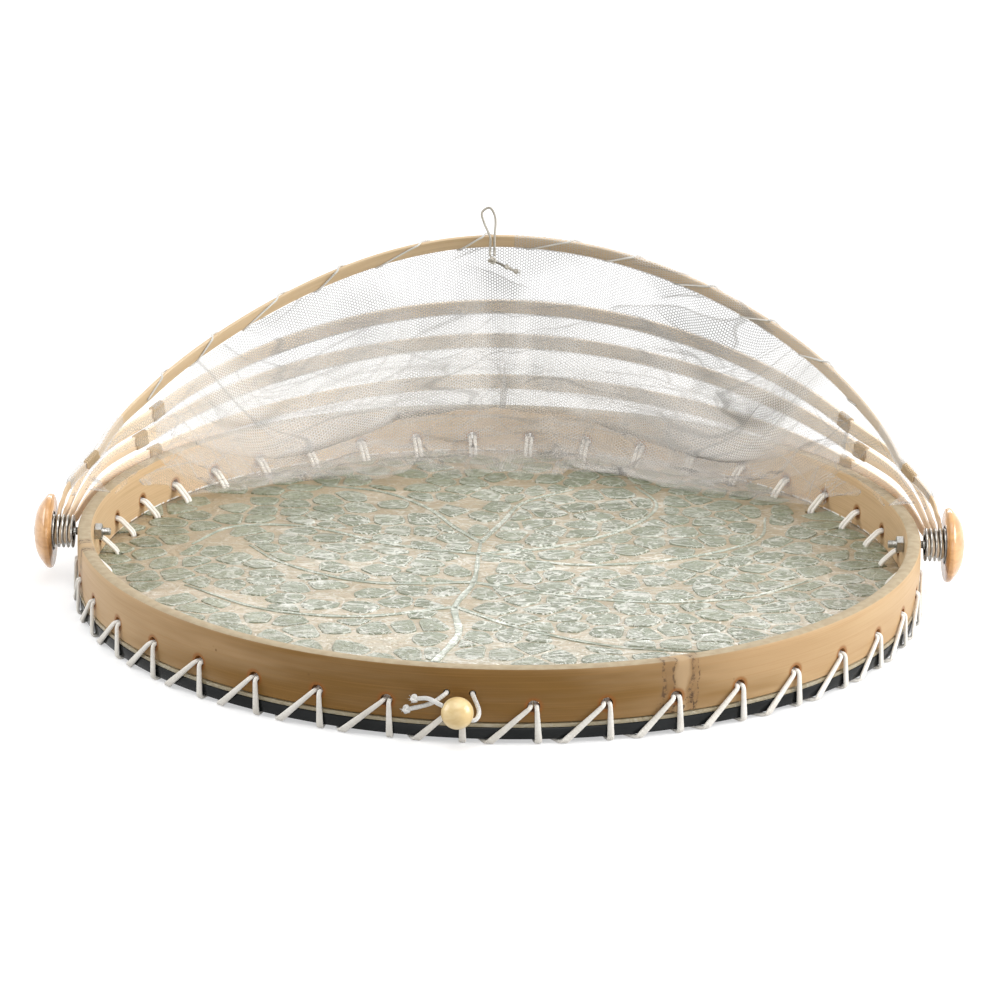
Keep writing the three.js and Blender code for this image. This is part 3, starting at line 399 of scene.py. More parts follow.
def bamboo_rim_material():
    s = Shader("rim_bamboo", ior=1.4, specular=0.25)
    x, y, z = s.split(s.coords)
    # The angle counts from the front, with its seam at the back.
    angle = s.math("ARCTAN2", x, y * -1.0)
    run = angle * (RIM_RADIUS * MM)
    fine = s.noise(s.join(run * 14.0, z * 1500.0), 4.0, 0.6)
    broad = s.noise(s.join(run * 9.0, z * 60.0), 3.0, 0.55)
    # Painted shade: the strip is painted browner towards the tray's front, which gets the least light, and straw
    # coloured towards the sides and the back. Broad noise makes the change uneven.
    front_shade = s.math("COSINE", angle + 0.15) + (broad - 0.5) * 0.9
    straw = s.shade(broad, 0.3, 0.7, (0.47, 0.305, 0.155), (0.54, 0.37, 0.20))
    shaded_brown = s.shade(broad, 0.3, 0.7, (0.165, 0.082, 0.017), (0.23, 0.119, 0.028))
    base = s.shade(front_shade, 0.58, 1.05, straw, shaded_brown)
    base = s.mix(s.ramp(fine, 0.45, 0.75) * 0.35, base, (0.36, 0.19, 0.06))
    # The wall's inner face is peeled and lighter.
    inner = s.ramp(s.reach(x, y), (RIM_INNER + 1.2) * MM, (RIM_INNER + 0.4) * MM)
    base = s.mix(inner, base, s.shade(fine, 0.35, 0.7, (0.62, 0.44, 0.255), (0.53, 0.36, 0.20)))
    # Painted light: at the back, the wall's foot is painted near white here and there, for daylight seen between it
    # and the inlay.
    foot = s.ramp(z, (RIM_BASE + 1.3) * MM, (RIM_BASE + 0.9) * MM) * s.ramp(y, 0.02, 0.09)
    gaps = s.ramp(s.noise(s.join(run * 120.0, 2.0), 2.0, 0.6), 0.47, 0.5)
    base = s.mix(foot * gaps * inner, base, (0.93, 0.91, 0.87))
    # The cut top edge is cream.
    up = s.split(s.normal())[2]
    cream = s.shade(s.grain(260.0, 2.0), 0.3, 0.7, (0.44, 0.36, 0.242), (0.38, 0.30, 0.195))
    base = s.mix(s.ramp(up, 0.3, 0.8), base, cream)
    # Specks and stains.
    dots = s.ramp(s.cells(run * 110.0, z * 110.0), 0.10, 0.03) * s.ramp(s.grain(45.0), 0.52, 0.62)
    base = s.mix(dots * 0.8, base, (0.13, 0.06, 0.02))
    # Culm rings: a raised pale band, with dark cracks beside it and specks at its foot.
    wobble = (s.grain((90.0, 90.0, 70.0)) - 0.5) * 0.009
    crumbs = s.grain(420.0, 4.0, 0.7)
    outer = 1.0 - inner
    for culm in CULMS:
        centre = math.radians((culm + 90 + 180) % 360 - 180) * RIM_RADIUS * MM
        away = run - centre + wobble
        near = s.ramp(abs(away), 0.0105, 0.0065) * outer
        middle = s.ramp(abs(away), 0.0042, 0.0015) * outer
        base = s.mix(near * 0.4, base, (0.27, 0.16, 0.08))
        base = s.mix(middle * 0.7, base, (0.50, 0.35, 0.20))
        for at, half in ((-0.0071, 0.0013), (0.0052, 0.0016), (-0.0035, 0.0006), (0.0083, 0.0005)):
            crack = s.ramp(abs(away - at), half, 0.3 * half) * s.ramp(crumbs, 0.45, 0.56)
            base = s.mix(crack * 0.7 * outer, base, (0.075, 0.045, 0.03))
        foot = near * s.ramp(z, (RIM_BASE + 12) * MM, (RIM_BASE + 2) * MM)
        base = s.mix(foot * s.ramp(crumbs, 0.52, 0.60) * 0.85, base, (0.05, 0.03, 0.02))
    # Scorched edges round the lacing holes.
    step = (s.math("FRACT", s.math("DIVIDE", angle, LACE_PITCH)) - 0.5) * (LACE_PITCH * RIM_RADIUS * MM)
    scorch = s.ramp(s.reach(step, z - LACE_HOLE_Z * MM), 0.0047, 0.0033)
    base = s.mix(scorch * 0.75, base, (0.28, 0.10, 0.02))
    s.set("Roughness", s.ramp(up, 0.3, 0.8, 0.42, 0.75))
    return s.done(base, fine * 0.6 + broad, 0.25, 0.0004)


def hoop_bamboo_material(name, deep, pale):
    s = Shader(name, coat=0.15, coat_roughness=0.3)
    u, v = s.uv()
    fine = s.noise(s.join(u * 20.0, v * 2200.0), 4.0, 0.6)
    base = s.shade(s.noise(s.join(u * 14.0, v * 150.0)), 0.3, 0.7, deep, pale)
    base = s.mix(s.ramp(fine, 0.45, 0.75) * 0.4, base, tuple(0.68 * c for c in deep))
    knots = s.ramp(s.cells(u * 9.0, v * 25.0), 0.12, 0.03)
    return s.done(s.mix(knots * 0.5, base, (0.25, 0.13, 0.05)), fine, 0.35, 0.0003)


def cord_material(name, tone, dark, weave=900.0, strength=0.5):
    s = Shader(name, roughness=0.8, sheen=0.25)
    s.set("Sheen Roughness", 0.5)
    u, v = s.uv()
    weft = s.math("SINE", (u + v) * (weave * 2)) * s.math("SINE", (u - v) * (weave * 2))
    base = s.shade(s.grain(90.0), 0.35, 0.75, tone, dark)
    return s.done(s.mix(s.ramp(weft, -0.2, -0.9, 0.0, 0.35), base, dark), weft, strength, 0.00025)


def lacquer_material():
    s = Shader("black_lacquer", specular=0.16)
    haze = s.grain((28.0, 28.0, 60.0), 4.0)
    s.set("Roughness", s.ramp(haze, 0.3, 0.7, 0.1, 0.24))
    base = s.shade(haze, 0.3, 0.75, (0.008, 0.009, 0.009), (0.022, 0.024, 0.025))
    return s.done(base, s.grain(120.0, 2.0), 0.12, 0.0006)


def lacquer_waves(s):
    """The thick, hand-poured lacquer's ripples over grout and chips."""
    return s.grain(85.0, 2.0, 0.5, 0.6) + s.grain(260.0, 3.0, 0.55, 1.4) * 0.45


def middle_glare(s):
    """Patches about the tray's middle, where the painted glare and the pearl streaks are strongest."""
    x, y, _ = s.split(s.coords)
    patches = s.ramp(s.grain(42.0, 2.0), 0.34, 0.6)
    return s.ramp(s.reach(x - 0.02, y + 0.025), 0.19, 0.10) * (patches * 0.6 + 0.4)


def pearl(s, body, strength):
    """Mother-of-pearl streaks, partly painted highlight: wavy pale lines that also stand for the lacquer's glints,
    each with a dark line beside it, shown most about the tray's middle.
    """
    middle = middle_glare(s)
    for scale, detail, broken, wide in ((60.0, 0.6, 0.33, 0.08), (100.0, 0.8, 0.36, 0.075),
                                        (190.0, 0.6, 0.45, 0.07)):
        field = s.grain((scale * 0.8, scale * 1.5, scale), detail, 0.5, 1.3) - 0.5
        shown = s.ramp(s.grain((scale * 0.9, scale * 0.9, 7.0)), broken, broken + 0.08)
        shown = shown * (middle * 0.75 + 0.25) * strength
        pale = s.ramp(field, 0.0, wide * 0.3) * s.ramp(field, wide, wide * 0.5)
        dark = s.ramp(field, 0.0, -wide * 0.25) * s.ramp(field, -wide * 0.8, -wide * 0.4)
        body = s.mix(dark * shown * 0.7, body, (0.19, 0.21, 0.14))
        body = s.mix(pale * shown, body, (0.88, 0.89, 0.82))
    # The whole inlay is also dulled a little, and more towards the tray's front.
    y = s.split(s.coords)[1]
    return s.mix(s.ramp(y, -0.06, -0.15, 0.12, 0.38), body, (0.19, 0.195, 0.125))


def grout_material():
    s = Shader("shell_grout", coat=0.5, coat_roughness=0.08)
    base = s.shade(s.grain(24.0, 4.0), 0.3, 0.7, (0.425, 0.33, 0.20), (0.36, 0.27, 0.155))
    base = s.mix(s.ramp(s.grain(900.0), 0.4, 0.7) * 0.2, base, (0.37, 0.27, 0.16))
    # Painted glare: the grout is painted lighter about the tray's middle.
    base = s.mix(middle_glare(s) * 0.315, pearl(s, base, 0.5), (0.45, 0.395, 0.29))
    return s.done(base, lacquer_waves(s), 0.8, 0.002, COATED)


def shell_material():
    s = Shader("shell_chip", roughness=0.3, coat=0.6, coat_roughness=0.06)
    tone, inside = s.attribute("tone"), s.attribute("inside")
    cloud = s.grain((110.0, 160.0, 60.0), 3.0, 0.6, 0.8)
    veins = s.grain((300.0, 420.0, 80.0), 3.0, 0.6, 2.2)
    pale = s.mix(tone, (0.34, 0.37, 0.24), (0.20, 0.245, 0.14))
    deep = s.mix(tone, (0.21, 0.24, 0.13), (0.105, 0.135, 0.06))
    body = s.shade(cloud, 0.35, 0.68, pale, deep)
    body = s.mix(s.ramp(veins, 0.52, 0.68) * 0.4, body, (0.60, 0.645, 0.575))
    # Painted glare: the chips are painted paler about the tray's middle.
    middle = middle_glare(s) * 0.9
    body = s.mix(middle * (0.8 - tone * 0.6), body, (0.42, 0.465, 0.38))
    # A chip has a thin dark outline, and inside it a pale, broken line along its raised border, which is painted
    # highlight, strongest about the tray's middle.
    wear_and_glint = s.ramp(s.grain(90.0, 2.0), 0.36, 0.56)
    ring = s.ramp(inside, 0.14, 0.22) * s.ramp(inside, 0.6, 0.3)
    body = s.mix(ring * 0.32, body, (0.17, 0.20, 0.12))
    body = s.mix(s.ramp(inside, 0.075, 0.03) * (wear_and_glint * 0.5 + 0.35), body, (0.15, 0.165, 0.095))
    line = s.ramp(inside, 0.07, 0.11) * s.ramp(inside, 0.2, 0.14) * (middle * 0.7 + 0.3)
    body = s.mix(line * wear_and_glint, body, (0.84, 0.86, 0.79))
    return s.done(pearl(s, body, 1.0), lacquer_waves(s) + veins * 0.45, 0.9, 0.003, COATED)


def stem_material():
    s = Shader("shell_stem", roughness=0.3, coat=0.6, coat_roughness=0.06)
    body = s.shade(s.grain(160.0), 0.35, 0.7, (0.40, 0.44, 0.36), (0.28, 0.325, 0.255))
    return s.done(pearl(s, body, 0.8), lacquer_waves(s), 0.7, 0.0014, COATED)


def steel_material():
    s = Shader("steel", metallic=1.0)
    haze = s.grain(400.0, 4.0)
    s.set("Roughness", s.ramp(haze, 0.3, 0.7, 0.24, 0.42))
    return s.done(s.shade(haze, 0.3, 0.7, (0.50, 0.49, 0.46), (0.34, 0.33, 0.31)), haze, 0.2, 0.0001)


def turned_wood_material(name, light, dark, scale=1.0, coat=0.7):
    s = Shader(name, roughness=0.35, coat=coat, coat_roughness=0.12)
    rings = s.grain((120.0 * scale, 30.0 * scale, 260.0 * scale), 4.0, 0.55, 1.0)
    pores = s.grain((900.0, 150.0, 1500.0))
    base = s.shade(rings, 0.3, 0.72, light, dark)
    return s.done(s.mix(s.ramp(pores, 0.55, 0.75) * 0.3, base, dark), pores, 0.15, 0.0002)


def tulle_material(name, hole, thread, seed, light, dim, loose=1.0):
    """White net: an open honeycomb of fine threads, closer together along sharp creases, which are also painted darker
    as painted shade.
    hole and thread say how much each covers. With loose below 1, the panel is more open towards its back edge and
    painted darker towards its front one, which is painted shade."""
    s = Shader(name, roughness=0.9, specular=0.1)
    u, v = s.uv()
    creases, folded, crease = 0.0, 0.0, 0.012
    for across, up, skew, low in ((6.0, 34.0, 0.0, 0.42), (10.0, 26.0, 14.0, 0.46),
                                  (11.0, 24.0, -16.0, 0.48)):
        field = s.noise(s.join(u * across + v * skew, v * up, seed + up), 1.0, 0.3) - 0.5
        shown = s.ramp(s.noise(s.join(u * 9.0, v * 14.0, seed - up)), low, low + 0.1)
        creases = s.math("MAXIMUM", creases, s.ramp(abs(field), crease, crease * 0.15) * shown)
        folded = s.ramp(field, 0.0, 0.006) * shown + folded
    tint = s.mix(s.grain(25.0), light, dim)
    if loose < 1:
        # Painted shade: the front panel's net is painted darker towards its front edge.
        tint = s.mix(s.ramp(v, 0.095, 0.13), tint, (0.38, 0.375, 0.365))
    # Painted shade: the creases are painted a darker grey.
    s.set("Base Color", s.mix(creases * 0.8, tint, (0.46, 0.445, 0.42)))
    cell = 2 * math.pi / (1.4 * MM)
    waves = [s.math("COSINE", u * (math.cos(a) * cell) + v * (math.sin(a) * cell)) for a in turns(3)]
    cover = s.ramp(s.ramp(waves[0] + waves[1] + waves[2], -0.2, -1.0), 0.0, 1.0, hole, thread, "LINEAR")
    # Folded-over areas are two layers thick, and the belly is denser than the part behind it.
    cover = cover * (folded * 0.32 + 0.88)
    if loose < 1:
        cover = cover * s.ramp(v, 0.045, 0.08, loose, 1.0)
    cover = cover * (s.ramp(abs(v - 0.074), 0.022, 0.008) * 0.45 + 1.0)
    cover = s.math("ADD", cover, creases * 0.32, clamp=True)
    # Fine threads scatter light onwards, so they shade what is behind them only a little.
    onward = s.any_ray("Is Shadow Ray", "Is Diffuse Ray")
    s.set("Alpha", cover * s.ramp(onward, 0.0, 1.0, 1.0, 0.15, "LINEAR"))
    # A round thread catches the light from above whichever way the net faces.
    facing = s.node("ShaderNodeVectorMath", {0: s.normal(), 1: (0.0, 0.0, 1.1)}, operation="ADD")
    s.set("Normal", s.node("ShaderNodeVectorMath", {0: facing}, operation="NORMALIZE"))
    return s.material


# ---- Camera, light, floor -------------------------------------------------
def camera():
    """The photograph's view. Pixel values are places in a frame of 1000 x 1000."""
    distance, focal, elevation, roll = 1600.0, 3349.0, math.radians(18.23), math.radians(0.925)
    centre_x, centre_y = 499.56, 520.93
    data = bpy.data.cameras.new("view")
    data.sensor_width = 36.0
    data.lens = 36.0 * focal / 1000.0
    data.shift_x = (500.0 - centre_x) / 1000.0
    data.shift_y = (centre_y - 500.0) / 1000.0
    data.clip_start, data.clip_end = 0.05, 50.0
    view = add_object("view", data)
    back = Vector((0.0, -math.cos(elevation), math.sin(elevation)))
    view.location = Vector((0.0, 0.0, RIM_TOP * MM)) + back * distance * MM
    view.rotation_mode = "QUATERNION"
    view.rotation_quaternion = (-back).to_track_quat("-Z", "Y") @ Quaternion((0.0, 0.0, 1.0), roll)
    bpy.context.scene.camera = view


def area_light(name, place, target, size, power):
    data = bpy.data.lights.new(name, "AREA")
    data.shape = "RECTANGLE"
    data.size, data.size_y = size
    data.energy = power
    light = add_object(name, data)
    light.location = place
    light.rotation_mode = "QUATERNION"
    light.rotation_quaternion = (Vector(target) - Vector(place)).to_track_quat("-Z", "Y")


def studio():
    scene = bpy.context.scene
    scene.view_settings.view_transform = "Standard"
    # Up to a dozen net layers lie behind one another, and a ray has to get through them all.
    scene.cycles.transparent_max_bounces = 48
    seen_rays = ("Is Camera Ray", "Is Glossy Ray", "Is Transmission Ray")
    scene.world = bpy.data.worlds.new("studio")
    scene.world.use_nodes = True
    w = Nodes(scene.world.node_tree)
    background = w.tree.nodes["Background"]
    w.put(background.inputs["Color"], (1.0, 1.0, 1.0))
    w.put(background.inputs["Strength"], w.ramp(w.any_ray(*seen_rays), 0.0, 1.0, 0.16, 1.0, "LINEAR"))
    area_light("light_right", (1.5, -0.12, 0.7), (0, 0, 0.03), (1.0, 0.9), 29.0)
    area_light("light_left", (-1.5, 0.15, 0.7), (0, 0, 0.03), (1.0, 0.9), 14.0)
    area_light("light_back", (0.1, 1.7, 0.95), (0, 0, 0.03), (2.1, 0.2), 18.0)
    area_light("light_top", (0.0, -0.45, 1.75), (0, 0.05, 0.03), (1.4, 1.2), 15.5)
    area_light("light_front", (0.1, -1.9, 0.55), (0, 0, 0.06), (1.6, 0.9), 9.5)

    floor = bpy.data.meshes.new("floor")
    floor.from_pydata([(-6, -6, 0), (6, -6, 0), (6, 6, 0), (-6, 6, 0)], [], [(0, 1, 2, 3)])
    ground = add_object("floor", floor)
    ground.location.z = (-SEAT_GAP - CORD_THICKNESS) * MM
    s = Shader("floor_white", roughness=1.0, specular=0.0)
    s.set("Base Color", (0.6, 0.6, 0.6))
    s.set("Emission Color", (1.0, 1.0, 1.0))
    # The lamps reach only the middle, so the floor's own white grows further out.
    x, y, _ = s.split(s.coords)
    s.set("Emission Strength", s.any_ray(*seen_rays) * s.ramp(s.reach(x, y), 0.7, 1.7, 0.5, 1.0))
    paint(ground, s.material)


# ---- Tray -----------------------------------------------------------------
def wall_bore(angle, z, radius, sides=20):
    return rod(polar(RIM_INNER - 2, angle, z), polar(RIM_RADIUS + 3, angle, z), radius, sides)


def rim(material):
    """A bent strip with a slightly wavy top and a bulge that grows at its culm rings."""
    outer, inner, edge = RIM_RADIUS, RIM_INNER, 1.0
    profile = [(inner, z) for z in np.linspace(RIM_TOP - 1.2 * edge, RIM_BASE + 0.4, 5)]
    profile += [(inner + 0.4, RIM_BASE), (outer - 0.5, RIM_BASE)]
    profile += [(outer, z) for z in np.linspace(RIM_BASE + 0.5, RIM_TOP - edge, 9)]
    profile += [(outer - 0.3 * edge, RIM_TOP - 0.3 * edge), (outer - edge, RIM_TOP), (outer - 3, RIM_TOP + 0.1),
                (inner + 1.2 * edge, RIM_TOP), (inner + 0.35 * edge, RIM_TOP - 0.35 * edge)]
    rings = []
    for angle in turns(540):
        r, z = np.array(profile).T
        z = z + np.where(z > RIM_TOP - 3, 0.12 * math.sin(3 * angle + 1) + 0.08 * math.sin(7 * angle), 0)
        swell = 0.35
        for culm in CULMS:
            gap = abs((angle - math.radians(culm) + math.pi) % (2 * math.pi) - math.pi) * RIM_RADIUS
            swell += 0.5 * math.exp(-(gap / 3.0) ** 2)
        share = 1 - ((z - (RIM_BASE + RIM_TOP) / 2) / (RIM_HEIGHT / 2)) ** 2
        r = r + np.where(r > RIM_RADIUS - 0.2, swell * np.clip(share, 0, 1), 0)
        rings.append(np.stack([r * math.cos(angle), r * math.sin(angle), z], 1))
    bores = [wall_bore(stitch_angle(k), LACE_HOLE_Z, WALL_BORE) for k in range(STITCHES)]
    bores += [wall_bore(angle, PIVOT, PIVOT_BORE) for angle in (0, math.pi)]
    bores += [wall_bore(stitch_angle(0) - side * BEAD_HOLE_SIDE / RIM_RADIUS, BEAD_HOLE_Z, CORD_BORE, 16)
              for side in (-1, 1)]
    piece = fix_normals(loft("rim_looks", rings, closed=True))
    dress(drill(piece, bores), "tray", material, "rim_bamboo", "bamboo_rim")


def laced_disc(name, radius, base, top, chamfer, proud=0.0):
    """A disc with softened edges and the lacing's holes. proud lifts its upper face."""
    corner = [(1.0, 0.0), (0.3, 0.3), (0.0, 1.0)]
    profile = [(radius - a * chamfer, base + b * chamfer) for a, b in corner]
    profile += [(radius - a * chamfer, top + proud - b * chamfer) for a, b in corner[::-1]]
    turn = turns(360)
    rings = [np.stack([r * np.cos(turn), r * np.sin(turn), np.full(360, z)], 1) for r, z in profile]
    places = [polar(LACE_RING, stitch_angle(k), 0.0) for k in range(STITCHES)]
    bores = [rod(place + FORWARD * (base - 2), place + FORWARD * (top + 2), BOARD_BORE) for place in places]
    return drill(fix_normals(loft(name, rings)), bores)


def board():
    piece = laced_disc("board_looks", BOARD_RADIUS, 0.0, BOARD_THICKNESS, 0.6, 0.25)
    dress(piece, "tray", lacquer_material(), "black_lacquer", "base_board")
    panel = laced_disc("inlay_looks", RIM_RADIUS + 0.5, INLAY_BASE, INLAY_TOP, 0.15)
    dress(panel, "tray", grout_material(), "shell_inlay", "inlay_panel")


# ---- Shell mosaic ---------------------------------------------------------
def stem_curves():
    """A branching ornament, from listed control points. The first line is the trunk."""
    lines = [
        [(-28, -128), (-18, -92), (-20, -55), (-12, -20), (-10, 22), (-9, 40)],
        [(-9, 40), (-22, 62), (-36, 92), (-60, 118), (-92, 128)],
        [(-9, 40), (2, 74), (12, 104), (38, 128)],
        [(-10, 22), (26, 34), (64, 66), (80, 104), (70, 134)],
        [(-10, 22), (40, 8), (92, 22), (128, 52), (134, 86)],
        [(-12, -20), (28, -36), (72, -44), (118, -34), (150, -8)],
        [(-20, -55), (10, -82), (52, -104), (98, -110)],
        [(-10, 22), (-52, 34), (-96, 60), (-132, 58), (-150, 30)],
        [(-12, -20), (-62, -22), (-104, 4), (-122, 30)],
        [(-20, -55), (-64, -70), (-108, -62), (-148, -30)],
        [(-28, -128), (-60, -126), (-96, -112), (-118, -96)],
        [(-28, -128), (8, -142), (46, -150)],
    ]
    return [spline([(x, y, 0) for x, y in line], 3.0)[:, :2] for line in lines]


def clip(polygon, point, normal):
    """Keeps the part of a convex polygon behind the line through point."""
    kept = []
    for i, a in enumerate(polygon):
        b = polygon[(i + 1) % len(polygon)]
        da, db = (a - point).dot(normal), (b - point).dot(normal)
        if da <= 0:
            kept.append(a)
        if da * db < 0:
            kept.append(a + (b - a) * (da / (da - db)))
    return kept


CHIPS, CHIP_SPACING, CHIP_SHAKE, CHIP_AREA = 430, 17.0, 4.6, 22


def chip_seeds(count):
    """Evenly spread places from a sunflower spiral, shaken and pushed apart."""
    k = np.arange(count)
    radius = (RIM_INNER - 2.0) * np.sqrt((k + 0.5) / count)
    turn = k * math.pi * (3 - math.sqrt(5))
    seeds = np.stack([radius * np.cos(turn), radius * np.sin(turn)], 1) + nrng.normal(0, CHIP_SHAKE, (count, 2))
    for _ in range(2):
        gap = seeds[:, None] - seeds[None]
        dist = np.linalg.norm(gap, axis=2) + np.eye(count) * 99
        push = np.clip(CHIP_SPACING - dist, 0, None)
        seeds += 0.25 * (gap / dist[..., None] * push[..., None]).sum(1)
    return seeds


def chip_outline(seed, along, side, stem_gap):
    """A pointed oval that leans away from its stem, or lies in a swirl far from stems."""
    swirl = 1.2 * math.sin(seed[0] / 41) + 1.1 * math.sin(seed[1] / 33 + 2)
    turn = along + side * 0.6 if stem_gap < 14 else 0.35 * swirl + rng.uniform(-0.7, 0.7)
    a, b = rng.uniform(10.8, 14.5), rng.uniform(6.8, 9.8)
    skew = rng.uniform(-0.45, 0.45)
    t = turns(22)
    x, y = a * np.cos(t), b * np.sin(t) * np.abs(np.sin(t)) ** 0.35
    y = y * (1 + skew * x / a)
    c, s = math.cos(turn), math.sin(turn)
    return list(seed + np.stack([c * x - s * y, s * x + c * y], 1))


def chip_layout(curves):
    seeds = chip_seeds(CHIPS)
    stem_points = np.vstack(curves)
    stem_ways = np.vstack([np.gradient(c, axis=0) for c in curves])
    chips = []
    for seed in seeds:
        away = np.linalg.norm(stem_points - seed, axis=1)
        near = int(away.argmin())
        if np.linalg.norm(seed) > RIM_INNER + 3 or away[near] < 2.2:
            continue
        way, offset = stem_ways[near], seed - stem_points[near]
        side = 1 if way[0] * offset[1] - way[1] * offset[0] > 0 else -1
        polygon = chip_outline(seed, math.atan2(way[1], way[0]), side, away[near])
        dist = np.linalg.norm(seeds - seed, axis=1)
        for j in np.argsort(dist)[1:16]:
            if dist[j] <= 30 and polygon:
                normal = (seeds[j] - seed) / dist[j]
                polygon = clip(polygon, seed + normal * (dist[j] / 2 - rng.uniform(0.45, 1.25)), normal)
        for m in np.where(away < 16)[0][::2]:
            x, y = unit(stem_ways[m])
            normal = np.array([-y, x])
            if (seed - stem_points[m]).dot(normal) > 0:
                normal = -normal
            polygon = clip(polygon, stem_points[m] - normal * 1.9, normal)
        if len(polygon) < 3:
            continue
        polygon = np.array(polygon)
        x, y = polygon.T
        area = 0.5 * abs((x * np.roll(y, -1) - y * np.roll(x, -1)).sum())
        if area >= CHIP_AREA and rng.random() >= 0.02:
            chips.append(polygon)
    return chips


def rounded(polygon, times):
    for _ in range(times):
        ahead = np.roll(polygon, -1, 0)
        polygon = np.stack([0.8 * polygon + 0.2 * ahead, 0.2 * polygon + 0.8 * ahead], 1).reshape(-1, 2)
    return polygon


# A chip's rings: size, height as a share of its lift, and how far in they lie for its material.
CHIP_LEVELS = [(1.0, -0.12, 0.0), (0.965, 0.5, 0.05), (0.92, 0.9, 0.12), (0.86, 1.0, 0.2),
               (0.78, 0.86, 0.35), (0.6, 0.8, 0.65), (0.3, 0.95, 1.0)]


def shell_chips(curves, material):
    sides, base = 30, INLAY_TOP + 0.05
    points, faces, tones, insides = [], [], [], []
    for polygon in chip_layout(curves):
        polygon = rounded(polygon, 1 if rng.random() < 0.6 else 2)
        loop = np.vstack([polygon, polygon[:1]])
        line = points_at(loop, np.linspace(0, run_along(loop)[-1], sides, endpoint=False))
        centre = line.mean(0)
        far = np.linalg.norm(line, axis=1)[:, None]
        line = line * np.where(far > RIM_INNER + 1, (RIM_INNER + 1) / far, 1.0)
        tone, lift = rng.random(), rng.uniform(0.35, 0.75)
        tilt = np.array([rng.uniform(-0.03, 0.03), rng.uniform(-0.03, 0.03)])
        start = len(tones)
        for scale, share, inside in CHIP_LEVELS:
            ring = centre + (line - centre) * scale
            bump = 0.12 * np.sin(ring[:, 0] / 2.3 + tone * 9) * np.sin(ring[:, 1] / 1.6 + tone * 5)
            height = base + lift * share + (ring - centre) @ tilt * share + bump * (inside > 0.3)
            points += np.column_stack([ring, height]).tolist()
            insides += [inside] * sides
        points.append((*centre, base + lift * 0.9))
        insides.append(1.0)
        tones += [tone] * (len(insides) - start)
        levels = [start + i * sides for i in range(len(CHIP_LEVELS))]
        faces += ring_faces(sides, zip(levels, levels[1:]))
        faces += [(levels[-1] + j, levels[-1] + (j + 1) % sides, len(points) - 1) for j in range(sides)]
    piece = new_mesh("shell_chips", points, faces)
    for name, values in (("tone", tones), ("inside", insides)):
        layer = piece.data.attributes.new(name, "FLOAT", "POINT")
        layer.data.foreach_set("value", np.asarray(values, np.float32))
    dress(piece, "tray", material, "shell_inlay")


def shell_stems(curves, material):
    """Low strips with a raised edge at both sides, tapering to the branches' ends."""
    strips = []
    for index, curve in enumerate(curves):
        way = unit(np.gradient(curve, axis=0))
        taper = 1 - 0.6 * np.linspace(0, 1, len(curve)) ** 2
        half = (1.8 if index == 0 else 1.3) * taper * (1 + 0.12 * np.sin(np.arange(len(curve)) * 0.9 + index))
        rings = []
        for (px, py), (dx, dy), w in zip(curve, way, half):
            section = [(-w, -0.1), (-w, 0.3), (-0.85 * w, 0.48), (-0.55 * w, 0.2)]
            section += [(-x, z) for x, z in section[::-1]]
            rings.append([(px - dy * x, py + dx * x, INLAY_TOP + 0.03 + z) for x, z in section])
        strips.append(loft(f"stem_{index}", rings))
    dress(fix_normals(join_pieces("shell_stems", strips)), "tray", material, "shell_inlay")


# ---- Lacing ---------------------------------------------------------------
def lacing_points():
    """The cord's corners and its width there, twice through each pair of holes."""
    lift = CORD_THICKNESS / 2 + SEAT_GAP
    spread, straight = (CORD_WAIST + 0.6) / 2, (CORD_WIDTH + 0.6) / 2
    corners = []
    for k in range(STITCHES):
        for side in (-1, 1):
            slant = (0.55 + rng.uniform(-0.04, 0.04) if side > 0 else 0.0) * LACE_PITCH
            wander = rng.uniform(-0.3, 0.3)
            outer = spread if side > 0 else wander - straight
            for radius, along, z, width, ahead in (
                    (LACE_RING, side * spread, -lift, CORD_WAIST, 0.0),
                    (LACE_RING, side * spread, INLAY_TOP + lift, CORD_WAIST, 0.0),
                    (RIM_INNER - lift - SEAT_GAP, side * spread, LACE_HOLE_Z, CORD_WAIST, 0.0),
                    (RIM_RADIUS + RIM_BULGE + lift, side * spread, LACE_HOLE_Z, CORD_WAIST, 0.0),
                    (BOARD_RADIUS + lift + SEAT_GAP, outer, -lift, CORD_WIDTH, slant)):
                corners.append((*polar(radius, stitch_angle(k) - along / radius - ahead, z), width))
    return np.array(corners)


